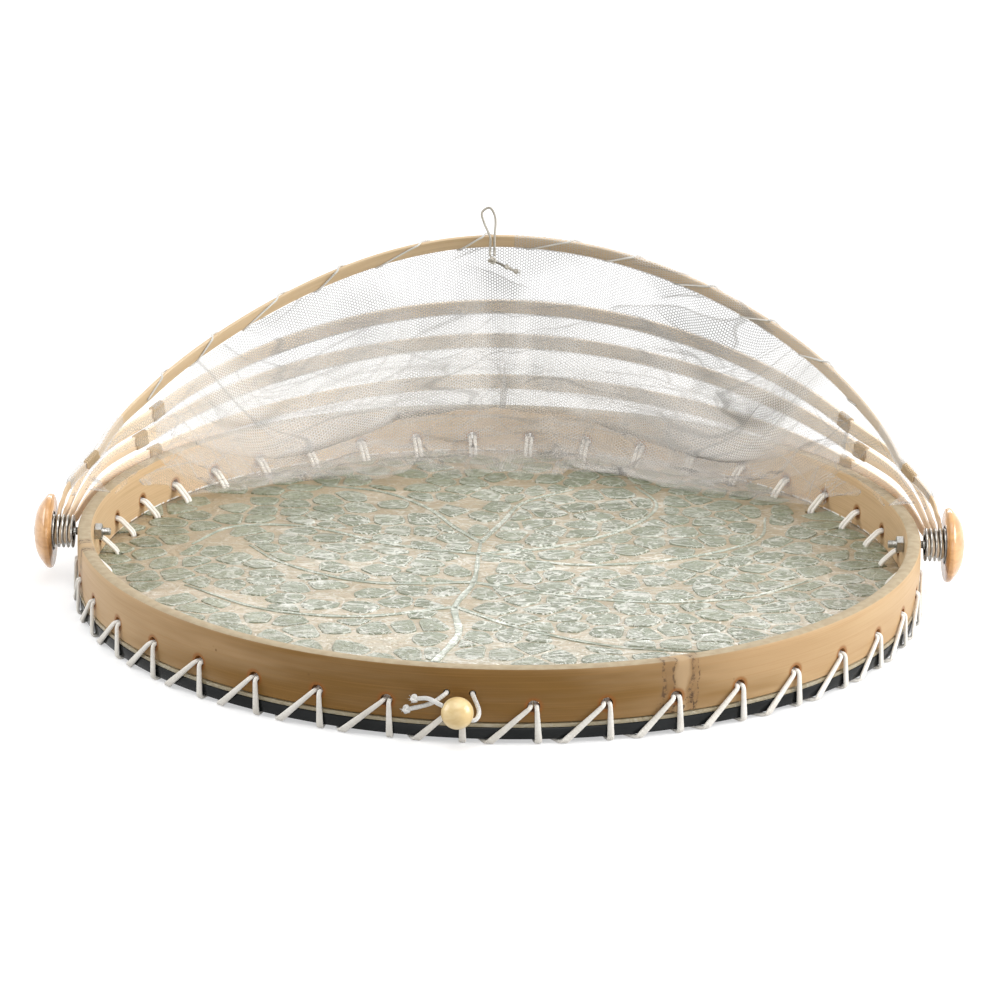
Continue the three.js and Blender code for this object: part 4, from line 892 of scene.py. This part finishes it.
def lacing(material):
    corners = lacing_points()
    stations = []
    for i, corner in enumerate(corners):
        before, after = corners[i - 1], corners[(i + 1) % len(corners)]
        b, here = corner[:3], corner[3]
        to_a, to_c = before[:3] - b, after[:3] - b
        trim = min(2.0, 0.42 * np.linalg.norm(to_a), 0.42 * np.linalg.norm(to_c))
        start, end = b + unit(to_a) * trim, b + unit(to_c) * trim
        for t in (0.0, 0.25, 0.5, 0.75, 1.0):
            stations.append((*((1 - t) ** 2 * start + 2 * t * (1 - t) * b + t * t * end), here))
        if np.linalg.norm(to_c) > 6:
            for t in (0.35, 0.65):
                stations.append((*(b + to_c * t), here + (after[3] - here) * t))
    path, span = np.array(stations)[:, :3], np.array(stations)[:, 3]
    span = (np.roll(span, 1) + 2 * span + np.roll(span, -1)) / 4
    along = unit(np.roll(path, -1, 0) - np.roll(path, 1, 0))
    radial = unit(path * (1, 1, 0))
    face = -along[:, 2:3] * radial
    face[:, 2] = (along * radial).sum(1)
    across = unit(np.cross(along, face))
    face = np.cross(across, along)
    turn = turns(14)
    wide = np.sign(np.cos(turn)) * np.abs(np.cos(turn)) ** 0.6
    thick = np.sign(np.sin(turn)) * np.abs(np.sin(turn)) ** 0.75
    rings = (path[:, None] + across[:, None] * (span / 2)[:, None, None] * wide[:, None]
             + face[:, None] * CORD_THICKNESS / 2 * thick[:, None])
    rings[..., 2] = np.maximum(rings[..., 2], -SEAT_GAP - CORD_THICKNESS)
    piece = loft("lacing_looks", rings, strip_uv(run_along(path), wide * CORD_WIDTH / 2), closed=True)
    dress(fix_normals(piece, 60), "tray", material, "white_cord", "rim_lacing")


# ---- Pivots ---------------------------------------------------------------
def grooves(x, stop):
    """A screw thread's ridges as plain rings."""
    ridges = []
    while x < stop:
        ridges += [(x, SCREW_RADIUS), (x + 0.35, SCREW_RADIUS - 0.3)]
        x += 0.7
    return ridges


def pivots(steel, wood):
    tip = RIM_INNER - SEAT_GAP - 3.2 - 4.0
    face = STACK_START + (WASHERS - 1) * STACK_PITCH + WASHER + STACK_GAP
    top = face + 3.4 + 5.0
    seat = top - 1.4 + STACK_GAP
    shank = [(tip, 0.01), (tip, 1.4)] + grooves(tip + 0.4, RIM_INNER - 3.2)
    shank += [(RIM_INNER - 3, SCREW_RADIUS - 0.1)] + grooves(RIM_RADIUS + 0.2, STACK_START - 0.7)
    head = [(seat + out, r) for out, r in (
        (0, SCREW_RADIUS), (0, 3.6), (1.0, 3.6), (1.6, 3.2), (2.0, 2.4), (2.15, 1.4), (1.2, 1.1), (1.2, 0.01))]
    dome = face + 2.4
    button = [(face, BUTTON_HOLE), (face, BUTTON_FOOT), (face + 0.25, 17.4), (face + 0.9, 17.75),
              (face + 1.7, 17.8), (dome, BUTTON_BRIM)]
    button += [(dome + (top - dome) * (1 - (1 - t) ** 2.2), BUTTON_BRIM - (BUTTON_BRIM - BUTTON_CROWN) * t)
               for t in np.linspace(0.0, 1.0, 14)[1:]]
    button += [(top - 0.15, 4.35), (top - 1.4, 4.2), (top - 1.4, BUTTON_HOLE), (face, BUTTON_HOLE)]
    for name, side in SIDES:
        screw = lathe_x(f"screw_looks_{name}", shank + head, side, 40)
        dress(screw, "tray", steel, "steel", f"pivot_screw_{name}")
        paint(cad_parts[f"pivot_nut_{name}"], steel)
        for i in range(WASHERS):
            near = STACK_START + i * STACK_PITCH
            far = near + WASHER
            ring = lathe_x(f"washer_looks_{name}_{i + 1}", [
                (near, WASHER_HOLE), (near, WASHER_RADIUS - 0.15), (near + 0.15, WASHER_RADIUS),
                (far - 0.15, WASHER_RADIUS), (far, WASHER_RADIUS - 0.15), (far, WASHER_HOLE),
                (near, WASHER_HOLE)], side, 72)
            dress(ring, "tray", steel, "steel", f"washer_{name}_{i + 1}")
        dress(lathe_x(f"button_looks_{name}", button, side, 96), "tray", wood, "button_wood", f"button_{name}")


# ---- Hoops ----------------------------------------------------------------
def end_distance(hoop):
    return STACK_START + WASHER + STACK_GAP + hoop * STACK_PITCH + HOOP_END / 2


def from_ends(phi, low, high):
    """Grows from 0 to 1 between two angles, in degrees from either end of a hoop."""
    return smooth(np.minimum(phi, math.pi - phi), math.radians(low), math.radians(high))


def hoop_points(hoop, phi):
    """In the hoop's own plane: across, out from the screws, and forward."""
    phi = np.asarray(phi, float)
    merged = from_ends(phi, *((6, 16) if hoop == FRONT else (16, 31)))
    radius = end_distance(hoop) + (HOOP_RADIUS - end_distance(hoop)) * merged
    depth = np.where(np.cos(phi) > 0, 6.0, 13.0) if hoop == FRONT else 3.0
    sag = depth * np.sin(2 * phi) ** 2 * from_ends(phi, 11, 30)
    return np.stack([radius * np.cos(phi), radius * np.sin(phi), -sag], -1)


def hoop_outward(hoop, phi):
    step = math.radians(0.5)
    d = hoop_points(hoop, np.asarray(phi) + step) - hoop_points(hoop, np.asarray(phi) - step)
    return unit(np.stack([d[..., 1], -d[..., 0], np.zeros_like(d[..., 0])], -1))


def strip_width(phi):
    return HOOP_NECK + (HOOP_WIDTH - HOOP_NECK) * from_ends(phi, 12, 30)


def strip_thickness(phi):
    return HOOP_END + (HOOP_THICKNESS - HOOP_END) * from_ends(phi, 16, 31)


def to_world(points, hoop):
    """From a hoop's own plane to the tray's frame."""
    c, s = math.cos(HOOP_ANGLES[hoop]), math.sin(HOOP_ANGLES[hoop])
    x, y, z = np.moveaxis(np.asarray(points, float), -1, 0)
    return np.stack([x, y * c - z * s, PIVOT + y * s + z * c], -1)


# A split strip's section, flat inside and rounded outside, and its flattened, bored end, as
# distance out from the screw and width there.
STRIP_SECTION = np.array([(-0.94, -1), (-0.5, -1), (0, -1), (0.5, -1), (0.94, -1), (1, -0.8), (1, 0.2),
                          (0.97, 0.5), (0.8, 0.8), (0.45, 0.96), (0, 1), (-0.45, 0.96), (-0.8, 0.8),
                          (-0.97, 0.5), (-1, 0.2), (-1, -0.8)])
STRIP_END = [(-6.5, 3.5), (-6.2, 6.0), (-5.2, 7.8), (-3.9, 9.0), (0, 9.0), (3, 9.0), (6, 9.0), (9, 7.9),
             (12, 5.9), (15, HOOP_NECK)]


def strip_ring(centre, outward, width, thickness):
    u, v = STRIP_SECTION[:, :1], STRIP_SECTION[:, 1:]
    return centre + FORWARD * u * width / 2 + outward * v * thickness / 2


def hoop_strip(hoop, material):
    name, across = HOOP_NAMES[hoop], end_distance(hoop)
    first = math.asin(STRIP_END[-1][0] / across) * 1.3
    phis = np.linspace(first, math.pi - first, 200)
    right, left = ([strip_ring(np.array([side * across, out, 0.0]), np.array([side, 0.0, 0.0]), width, HOOP_END)
                    for out, width in STRIP_END] for side in (1, -1))
    widths = strip_width(phis) * (1 + 0.02 * np.sin(9 * phis + hoop))
    bow = [strip_ring(*station) for station in zip(
        hoop_points(hoop, phis), hoop_outward(hoop, phis), widths, strip_thickness(phis))]
    rings = np.array(right + bow + left[::-1])
    section = STRIP_SECTION[:, 0] * 3.9 + STRIP_SECTION[:, 1] + 20 * hoop
    piece = loft(f"{name}_looks", to_world(rings, hoop), strip_uv(run_along(rings.mean(1)), section))
    dress(fix_normals(piece, 40), HOOP_BODIES[hoop], material, "hoop_bamboo", name)


def wind(hoop, start, end, count, radius, clearance, wobble=0.0, per_turn=28):
    """Centreline of a cord wound round the strip. It advances evenly along the strip's
    outline, so each face is crossed on a slant."""
    t = np.linspace(0, 1, int(count * per_turn))
    phi = start + (end - start) * t
    half_w = strip_width(phi) / 2 + radius + clearance
    half_t = strip_thickness(phi) / 2 + radius + clearance
    run = ((count * t + 0.15) % 1.0) * 4
    share = half_w / (half_w + 0.4 * half_t)
    within = run % 2
    wide = within < 2 * share
    u = np.where(wide, within / share - 1, 1.0)
    v = -np.where(wide, 1.0, 1 - (within - 2 * share) / (1 - share))
    corner = 1 - np.clip((np.hypot(u, v) - 1.0) / 0.414, 0, 1) ** 2 * 0.12
    flip = np.where(run < 2, 1.0, -1.0) * corner
    jitter = wobble * np.sin(run * 1.3 + phi * 31) * np.sin(phi * 17)
    centres = hoop_points(hoop, phi + jitter / HOOP_RADIUS) + hoop_outward(hoop, phi) * (half_t * v * flip)[:, None]
    centres[:, 2] += half_w * u * flip
    for axis in range(3):
        centres[1:-1, axis] = np.convolve(centres[:, axis], [0.25, 0.5, 0.25], "valid")
    return to_world(centres, hoop)


WHIPPING_LENGTH, WHIPPING_TURNS, WHIPPING_RADIUS = 9.0, 9, 0.45
SEWN_FROM, SEWN_TURNS, SEWN_RADIUS = 98.0, 11, 0.5


def whippings(hoop, from_end, material):
    for name, side in SIDES:
        centre = math.radians(from_end) if side > 0 else math.pi - math.radians(from_end)
        half = side * WHIPPING_LENGTH / 2 / HOOP_RADIUS
        path = wind(hoop, centre - half, centre + half, WHIPPING_TURNS, 0.42, 0.06)
        piece = cord_piece(f"{HOOP_NAMES[hoop]}_whipping_looks_{name}", path, WHIPPING_RADIUS, 8)
        dress(piece, HOOP_BODIES[hoop], material, "whipping_cord", f"{HOOP_NAMES[hoop]}_whipping_{name}")


def stitching(material):
    margin = math.asin(SEWN_FROM / HOOP_RADIUS)
    path = wind(FRONT, math.pi - margin, margin, SEWN_TURNS, SEWN_RADIUS, 0.1, 4.0, 60)
    dress(cord_piece("stitching_looks", path, SEWN_RADIUS, 8), HOOP_BODIES[FRONT], material, "white_cord",
          "front_hoop_stitching")


# ---- Bead and latch loop --------------------------------------------------
BEAD_RADIUS, BEAD_BORE, BEAD_CORD, BEAD_TILT = 6.9, 1.35, 0.95, math.radians(26)
BEAD_STANDOFF = RIM_RADIUS + RIM_BULGE + 2 * SEAT_GAP + CORD_THICKNESS + BEAD_RADIUS
LOOP_X, LOOP_CORD, LOOP_RADIUS, KNOT = -6, 0.75, 0.62, 1.7
# The thread, the folded net and their gaps lie between the front hoop and the loop.
UNDER_LOOP = 0.5 + 3 * SEAT_GAP + 2 * 0.55 + 0.25
FOLD_FRONT = np.array([0.745, 0.07]) * HOOP_RADIUS


def bead_frame(points):
    """Turns points that are placed at the tray's very front to the bead's stitch."""
    angle = stitch_angle(0) + math.pi / 2
    c, s = math.cos(angle), math.sin(angle)
    x, y, z = np.moveaxis(np.asarray(points, float), -1, 0)
    return np.stack([x * c - y * s, x * s + y * c, z], -1)


def bead(material):
    axis = np.array([math.cos(BEAD_TILT), 0.0, -math.sin(BEAD_TILT)])
    up = np.array([math.sin(BEAD_TILT), 0.0, math.cos(BEAD_TILT)])
    out = np.cross(axis, up)
    edge = math.asin(BEAD_BORE / BEAD_RADIUS)
    profile = [(-5.5, BEAD_BORE)]
    profile += [(-BEAD_RADIUS * math.cos(t), BEAD_RADIUS * math.sin(t)) for t in np.linspace(edge, math.pi - edge, 28)]
    profile += [(5.5, BEAD_BORE), (-5.5, BEAD_BORE)]
    centre, turn = np.array([0, -BEAD_STANDOFF, LACE_HOLE_Z]), turns(48)
    rings = [centre + axis * along + radius * (np.cos(turn)[:, None] * up + np.sin(turn)[:, None] * out)
             for along, radius in profile]
    piece = loft("bead_looks", bead_frame(rings), caps=False)
    dress(fix_normals(piece, 50), "tray", material, "bead_wood", "toggle_bead")


def small_knot(name, centre, radius, direction):
    """An overhand knot's lump: a trefoil of the same cord drawn tight."""
    t = np.linspace(0, 2 * math.pi, 60)
    x, y = np.sin(t) + 2 * np.sin(2 * t), np.cos(t) - 2 * np.cos(2 * t)
    d = unit(np.asarray(direction, float))
    a = unit(np.cross(d, [0.2, 0.3, 0.9]))
    points = (centre + radius * 0.27 * (x[:, None] * a + y[:, None] * np.cross(d, a))
              - radius * 0.5 * np.sin(3 * t)[:, None] * d)
    return cord_piece(name, points, radius * 0.42, 8)


def fray(name, tip, direction, reach, count, spread):
    """Loose fibres at a cord's cut end."""
    t = np.linspace(0, 1, 6)[:, None]
    wisps = []
    for i in range(count):
        way = unit(unit(direction) + nrng.normal(0, spread, 3))
        bend = nrng.normal(0, 0.25, 3)
        points = tip + way * reach * t + bend * reach * 0.4 * t ** 2
        wisps.append(cord_piece(f"{name}_{i}", points, 0.16 - 0.10 * t[:, 0], 5))
    return wisps


def bead_cord(material):
    def by_bead(*places):
        """Beside the bead: to the right, out and up, in bead radii."""
        return [np.array([0, -BEAD_STANDOFF, LACE_HOLE_Z]) + np.array([x, -out, up]) * BEAD_RADIUS
                for x, out, up in places]

    def through_wall(side):
        inside, near = RIM_INNER - SEAT_GAP - BEAD_CORD, RIM_RADIUS + RIM_BULGE + 2 * BEAD_CORD
        places = [(BEAD_HOLE_SIDE + BEAD_CORD / 2, near), (BEAD_HOLE_SIDE, RIM_RADIUS),
                  (BEAD_HOLE_SIDE, RIM_INNER), (BEAD_HOLE_SIDE - 2 * BEAD_CORD, inside)]
        return [np.array([side * x, -y, BEAD_HOLE_Z]) for x, y in places]

    bore = [(t * math.cos(BEAD_TILT), 0, -t * math.sin(BEAD_TILT)) for t in (-0.95, 0.95)]
    control = by_bead((-2.72, -0.8, 0.5), (-1.9, -0.6, 0.64), (-1.18, -0.09, 0.53), *bore,
                      (1.13, -0.14, -0.41), (1.27, -0.64, -0.09))
    control += through_wall(1) + through_wall(-1)[::-1] + by_bead((-1.67, -0.76, 0.29), (-3.2, -0.82, -0.23))
    path = bead_frame(spline(control, 0.7))
    tube = cord_piece("bead_cord_looks", path, BEAD_CORD, 12)
    tips = [("a", path[0], path[0] - path[4]), ("b", path[-1], path[-1] - path[-5])]
    parts = [small_knot(f"bead_knot_{name}", tip, 1.75, way) for name, tip, way in tips]
    for name, tip, way in tips:
        parts += fray(f"bead_fray_{name}", tip, way, 2.6, 7, 0.35)
    ends = join_pieces("bead_cord_ends", parts)
    dress(tube, "tray", material, "white_cord", "bead_cord")
    dress(ends, "tray", material, "white_cord")


def on_net(across, down, stand_off):
    """A place on the front panel: beside the loop, down from the hoop and off the net."""
    c, s = math.cos(HOOP_ANGLES[FRONT]), math.sin(HOOP_ANGLES[FRONT])
    inner = HOOP_RADIUS - HOOP_THICKNESS / 2 - UNDER_LOOP
    to = np.array([inner * c + 2.2 * s, inner * s - 2.2 * c])
    along = unit(FOLD_FRONT - to)
    y, z = to + along * down + np.array([along[1], -along[0]]) * stand_off
    return np.array([LOOP_X + across, y * c + z * s, -y * s + z * c])


def latch(material):
    lift = HOOP_THICKNESS / 2 + UNDER_LOOP + 0.5 + LOOP_CORD
    side, rise, bow, strand = HOOP_WIDTH / 2, 12.0, 4.5, 1.1
    stand = 0.5 + SEAT_GAP + KNOT
    body = HOOP_BODIES[FRONT]

    def on_hoop(across, outward, forward):
        return np.array([LOOP_X + across, HOOP_RADIUS + outward, forward])

    def leg(x):
        return [on_net(x, 6 - 1.4 * KNOT, stand), on_hoop(x, -lift - LOOP_CORD, -side / 2),
                on_hoop(x, -lift, side / 2), on_hoop(x, -lift * 0.7, side + 2 * LOOP_CORD)]

    teardrop = [on_hoop(x, rise * up, side + rise * out) for x, up, out in (
        (-bow, 0.2, 0.55), (-bow - strand, 0.45, 0.9), (-bow * 0.4, 0.6, 1.05), (strand, 0.4, 0.75))]
    path = to_world(spline(leg(-strand) + teardrop + leg(strand)[::-1], 0.5), FRONT)
    tube = cord_piece("latch_loop_looks", path, LOOP_RADIUS, 12)
    parts = [small_knot("latch_lump", to_world(on_net(0, 6, stand), FRONT), 1.9, (0.2, -0.3, 1))]
    for reach, name in ((7.5, "a"), (12.5, "b")):
        points = [on_net(reach * t, 6 + 0.45 * reach * t, stand) for t in (0, 0.35, 0.7, 1)]
        tail = to_world(spline(points, 0.6), FRONT)
        way = tail[-1] - tail[-4]
        parts.append(cord_piece(f"latch_tail_{name}", tail, LOOP_RADIUS, 10))
        parts += fray(f"latch_fray_{name}", tail[-1], way, 3.0, 9, 0.4)
        parts.append(small_knot(f"latch_end_{name}", tail[-1], 1.2, way))
    ends = join_pieces("latch_knot_looks", parts)
    dress(tube, body, material, "white_cord", "latch_loop")
    dress(ends, body, material, "white_cord", "latch_knot")


# ---- Net ------------------------------------------------------------------
COLUMNS, ROWS = 140, 30
PANEL_LENGTHS = [138.0, 140.0, 142.0, 150.0]
PANEL_STARTS = [21, 12, 10, 7]
HANG_STEPS, PASSES, KEPT_SPEED, FALL = 260, 7, 0.93, 0.05
HEM_REACH, HEM_LIFT, FRONT_HEM_LIFT = 2.4, 1.2, 1.4


def hem_line(hoop, phi, forward):
    """A net's edge along a hoop, or along the rim where hoop is -1."""
    if hoop < 0:
        radius = RIM_INNER - 1.0
        return np.stack([radius * np.cos(phi), radius * np.sin(phi), np.full_like(phi, RIM_TOP - 3.5)], -1)
    lift = HOOP_THICKNESS / 2 + (FRONT_HEM_LIFT if hoop == FRONT else HEM_LIFT)
    place = hoop_points(hoop, phi) - hoop_outward(hoop, phi) * lift + FORWARD * forward * HEM_REACH
    return to_world(place, hoop)


def slack(phi):
    """How much of a panel's cut length hangs there: none at its two gathered ends."""
    taut_to = math.radians(22)
    return smooth(np.minimum(phi, math.pi - phi), taut_to, taut_to + math.radians(34))


def cut_depth(panel, chord, share):
    """How much net there is between the hems, a chord apart, for a share of the slack."""
    return 1.03 * chord + (PANEL_LENGTHS[panel] - chord) * share


def start_shape(panel):
    low = math.radians(PANEL_STARTS[panel])
    phi = np.linspace(low, math.pi - low, COLUMNS + 1)
    rows = np.linspace(0, 1, ROWS + 1)
    bow = 1 - np.abs(2 * rows - 1) ** 1.8
    net = []
    for a, b, angle, share in zip(hem_line(panel - 1, phi, 1), hem_line(panel, phi, -1), phi, slack(phi)):
        chord = np.linalg.norm(b - a)
        drop = math.sqrt(max(cut_depth(panel, chord, share) ** 2 - chord ** 2, 1.0)) / 2 * 0.97
        inward = np.array([-math.cos(angle), -math.sin(angle), 0.0])
        down = inward * (0.55 + 0.15 * (3 - panel) / 3) + np.array([0, 0, -0.72])
        down /= np.linalg.norm(down)
        swing = 5.0 * math.sin(8 * angle + 1.7 * panel) + 3.0 * math.sin(13 * angle - panel)
        taut = a + (b - a) * rows[:, None]
        net.append(taut + (down * drop + inward * swing * share) * bow[:, None])
    return np.array(net), phi


def pull(a, b, rest, stiff):
    """Moves two views of the net towards their resting distance, in place."""
    d = b - a
    size = np.linalg.norm(d, axis=-1)
    move = d * ((size - rest) / np.maximum(size, 1e-6) * 0.5 * stiff)[..., None]
    a += move
    b -= move


def hang(panel):
    """Lets the panel hang: distances between neighbours hold, gravity pulls, and a floor just above the inlay, at its
    own height for each panel, and the rim's wall stop it. Gives the points and the cut sizes of its cells."""
    net, phi = start_shape(panel)
    net += nrng.normal(0, 0.2, net.shape)
    dv = cut_depth(panel, np.linalg.norm(net[:, 0] - net[:, -1], axis=1), slack(phi)) / ROWS
    du = 1.05 * np.linalg.norm(np.diff(net[:, -1], axis=0), axis=1)
    diagonal = np.sqrt(du ** 2 + ((dv[1:] + dv[:-1]) / 2) ** 2)
    back, front, ends, old = net[:, 0].copy(), net[:, -1].copy(), net[[0, -1]].copy(), net.copy()
    floor = INLAY_TOP + 1.0 + 0.5 * (3 - panel) + 1.2 * (panel > 1)
    wall = RIM_INNER - 1.2
    for _ in range(HANG_STEPS):
        net, old = net + (net - old) * KEPT_SPEED, net.copy()
        net[..., 2] -= FALL
        for _ in range(PASSES):
            for p in (0, 1):
                pull(net[:, p:-1:2], net[:, p + 1::2], dv[:, None], 1.0)
                pull(net[p:-1:2], net[p + 1::2], du[p::2, None], 0.9)
            for p in (0, 1):
                left, right, rest = net[p:-1:2], net[p + 1::2], diagonal[p::2, None]
                for q in (0, 1):
                    pull(left[:, q:-1:2], right[:, q + 1::2], rest, 0.25)
                    pull(left[:, q + 1::2], right[:, q:-1:2], rest, 0.25)
            net[1:-1] += ((net[2:] + net[:-2]) / 2 - net[1:-1]) * 0.10
            net[:, 1:-1] += ((net[:, 2:] + net[:, :-2]) / 2 - net[:, 1:-1]) * 0.05
            net[:, 0], net[:, -1], net[[0, -1]] = back, front, ends
            net[..., 2] = np.maximum(net[..., 2], floor)
            radius = np.linalg.norm(net[..., :2], axis=-1)
            outside = (net[..., 2] < RIM_TOP + 1) & (radius > wall)
            net[..., :2] *= np.where(outside, wall / np.maximum(radius, 1e-6), 1.0)[..., None]
    return net, dv, du


def grid_mesh(name, net, uv):
    count = net.shape[1]
    faces = [(i * count + j, (i + 1) * count + j, (i + 1) * count + j + 1, i * count + j + 1)
             for i in range(len(net) - 1) for j in range(count - 1)]
    return new_mesh(name, net.reshape(-1, 3), faces, uv)


def net_panel(panel, material):
    """Panel 0 spans from the rim to the back hoop, and panel 3 ends at the front hoop."""
    net, dv, du = hang(panel)
    run = np.concatenate([[0], np.cumsum(du)])
    uv = np.stack([np.repeat(run, ROWS + 1), (np.arange(ROWS + 1) * dv[:, None]).ravel()], 1) * MM
    node = f"net_panel_{4 - panel}"
    piece = grid_mesh(f"{node}_looks", net, uv)
    paint(piece, material)
    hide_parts(node)
    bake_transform(piece)


def net_hem(hoop, first, last, material):
    """The net's edge, folded over the inner face of a hoop and a little round its edges."""
    phi = np.radians(np.linspace(first, last, 160))
    middle, outward = hoop_points(hoop, phi), hoop_outward(hoop, phi)
    rows = [(-1.0, -0.6), (-1.03, 0.6), (-0.85, 1.0), (-0.4, 1.12), (0.0, 1.15), (0.4, 1.12), (0.85, 1.0),
            (1.03, 0.6), (1.0, -0.6)]
    half_w, half_t = strip_width(phi) / 2 + 0.6, strip_thickness(phi) / 2 + 0.45
    ripple = 0.18 * np.sin(phi * 61 + hoop) * np.sin(phi * 23)
    lines = [middle + FORWARD * (u * half_w)[:, None] - outward * (v * half_t + ripple * (abs(u) < 0.9))[:, None]
             for u, v in rows]
    net = to_world(np.stack(lines, 1), hoop)
    run = run_along(net[:, 4])
    piece = grid_mesh(f"{HOOP_NAMES[hoop]}_net_hem", net, strip_uv(run, run_along(net[80]) + 100))
    dress(piece, HOOP_BODIES[hoop], material, "net")


def net_bunch(name, side, material):
    """The front panel's gathered end, drawn round the end of the front hoop."""
    phi = np.radians(np.linspace(8.0, 22.0, 60))
    share = np.linspace(0, 1, len(phi))
    swell = np.sin(math.pi * share)
    if side < 0:
        phi = math.pi - phi
    middle, outward = hoop_points(FRONT, phi), hoop_outward(FRONT, phi)
    half_w, half_t = strip_width(phi) / 2, strip_thickness(phi) / 2
    turn = np.linspace(0, 2 * math.pi, 49)
    lines = []
    for a in turn:
        fold = 1 + 0.16 * np.sin(7 * a + 5 * share) * swell + 0.06 * np.sin(11 * a - 9 * share)
        # Closed, the hoop lies on the rim, so the two sides that face it keep close to the strip.
        ahead = np.minimum(math.cos(a) * (half_w + 0.7 + 0.9 * swell ** 0.7) * fold, half_w + 0.12)
        out = np.maximum(math.sin(a) * (half_t + 1.0 + 1.3 * swell ** 0.7) * fold, -half_t - 0.25)
        lines.append(middle + FORWARD * ahead[:, None] + outward * out[:, None])
    run = run_along(middle)
    net = to_world(np.stack(lines, 1), FRONT)
    piece = grid_mesh(f"net_bunch_{name}", net, strip_uv(run, turn * 5.0 + 100))
    dress(piece, HOOP_BODIES[FRONT], material, "net")


# ---- Everything -----------------------------------------------------------
camera()
studio()
front_bamboo = hoop_bamboo_material("hoop_bamboo", (0.62, 0.45, 0.27), (0.71, 0.54, 0.35))
# Painted light: the three back hoops get a lighter copy of the same bamboo, standing in for the light they lack behind
# the net.
lit_bamboo = hoop_bamboo_material("hoop_bamboo_lit", (0.86, 0.68, 0.48), (0.90, 0.74, 0.56))
white_cord = cord_material("lacing_cord", (0.86, 0.83, 0.77), (0.72, 0.68, 0.61), strength=0.22)
thin_cord = cord_material("thin_cord", (0.78, 0.77, 0.74), (0.60, 0.58, 0.54), 1500.0)
jute = cord_material("whipping_cord", (0.66, 0.50, 0.31), (0.44, 0.31, 0.17), 1800.0)
loop_cord = cord_material("loop_cord", (0.50, 0.47, 0.41), (0.36, 0.33, 0.28), 1500.0)
# Painted light and shade: the front panel's net is a darker white than the fine net behind it, to even out that it is
# lit more strongly.
front_tulle = tulle_material("front_tulle", 0.13, 0.66, 3.0, (0.76, 0.74, 0.705), (0.68, 0.66, 0.63), 0.35)
fine_tulle = tulle_material("fine_tulle", 0.02, 0.17, 11.0, (0.88, 0.85, 0.80), (0.80, 0.77, 0.72))
hem_tulle = tulle_material("hem_tulle", 0.2, 0.6, 5.0, (0.88, 0.86, 0.83), (0.80, 0.78, 0.75))

rim(bamboo_rim_material())
board()
stems = stem_curves()
shell_chips(stems, shell_material())
shell_stems(stems, stem_material())
lacing(white_cord)
pivots(steel_material(), turned_wood_material("button_wood", (0.72, 0.40, 0.16), (0.55, 0.27, 0.09)))
for hoop, whipping_at in enumerate((30, 27, 31, 13)):
    hoop_strip(hoop, front_bamboo if hoop == FRONT else lit_bamboo)
    whippings(hoop, whipping_at, jute)
stitching(thin_cord)
bead(turned_wood_material("bead_wood", (0.80, 0.62, 0.32), (0.70, 0.50, 0.22), 0.8, 0.3))
bead_cord(thin_cord)
latch(loop_cord)
for panel in range(4):
    net_panel(panel, front_tulle if panel == FRONT else fine_tulle)
for hoop, first, last in ((2, 30, 150), (1, 30, 150), (0, 30, 84), (FRONT, 14, 88.5)):
    net_hem(hoop, first, last, hem_tulle)
for name, side in SIDES:
    net_bunch(name, side, hem_tulle)
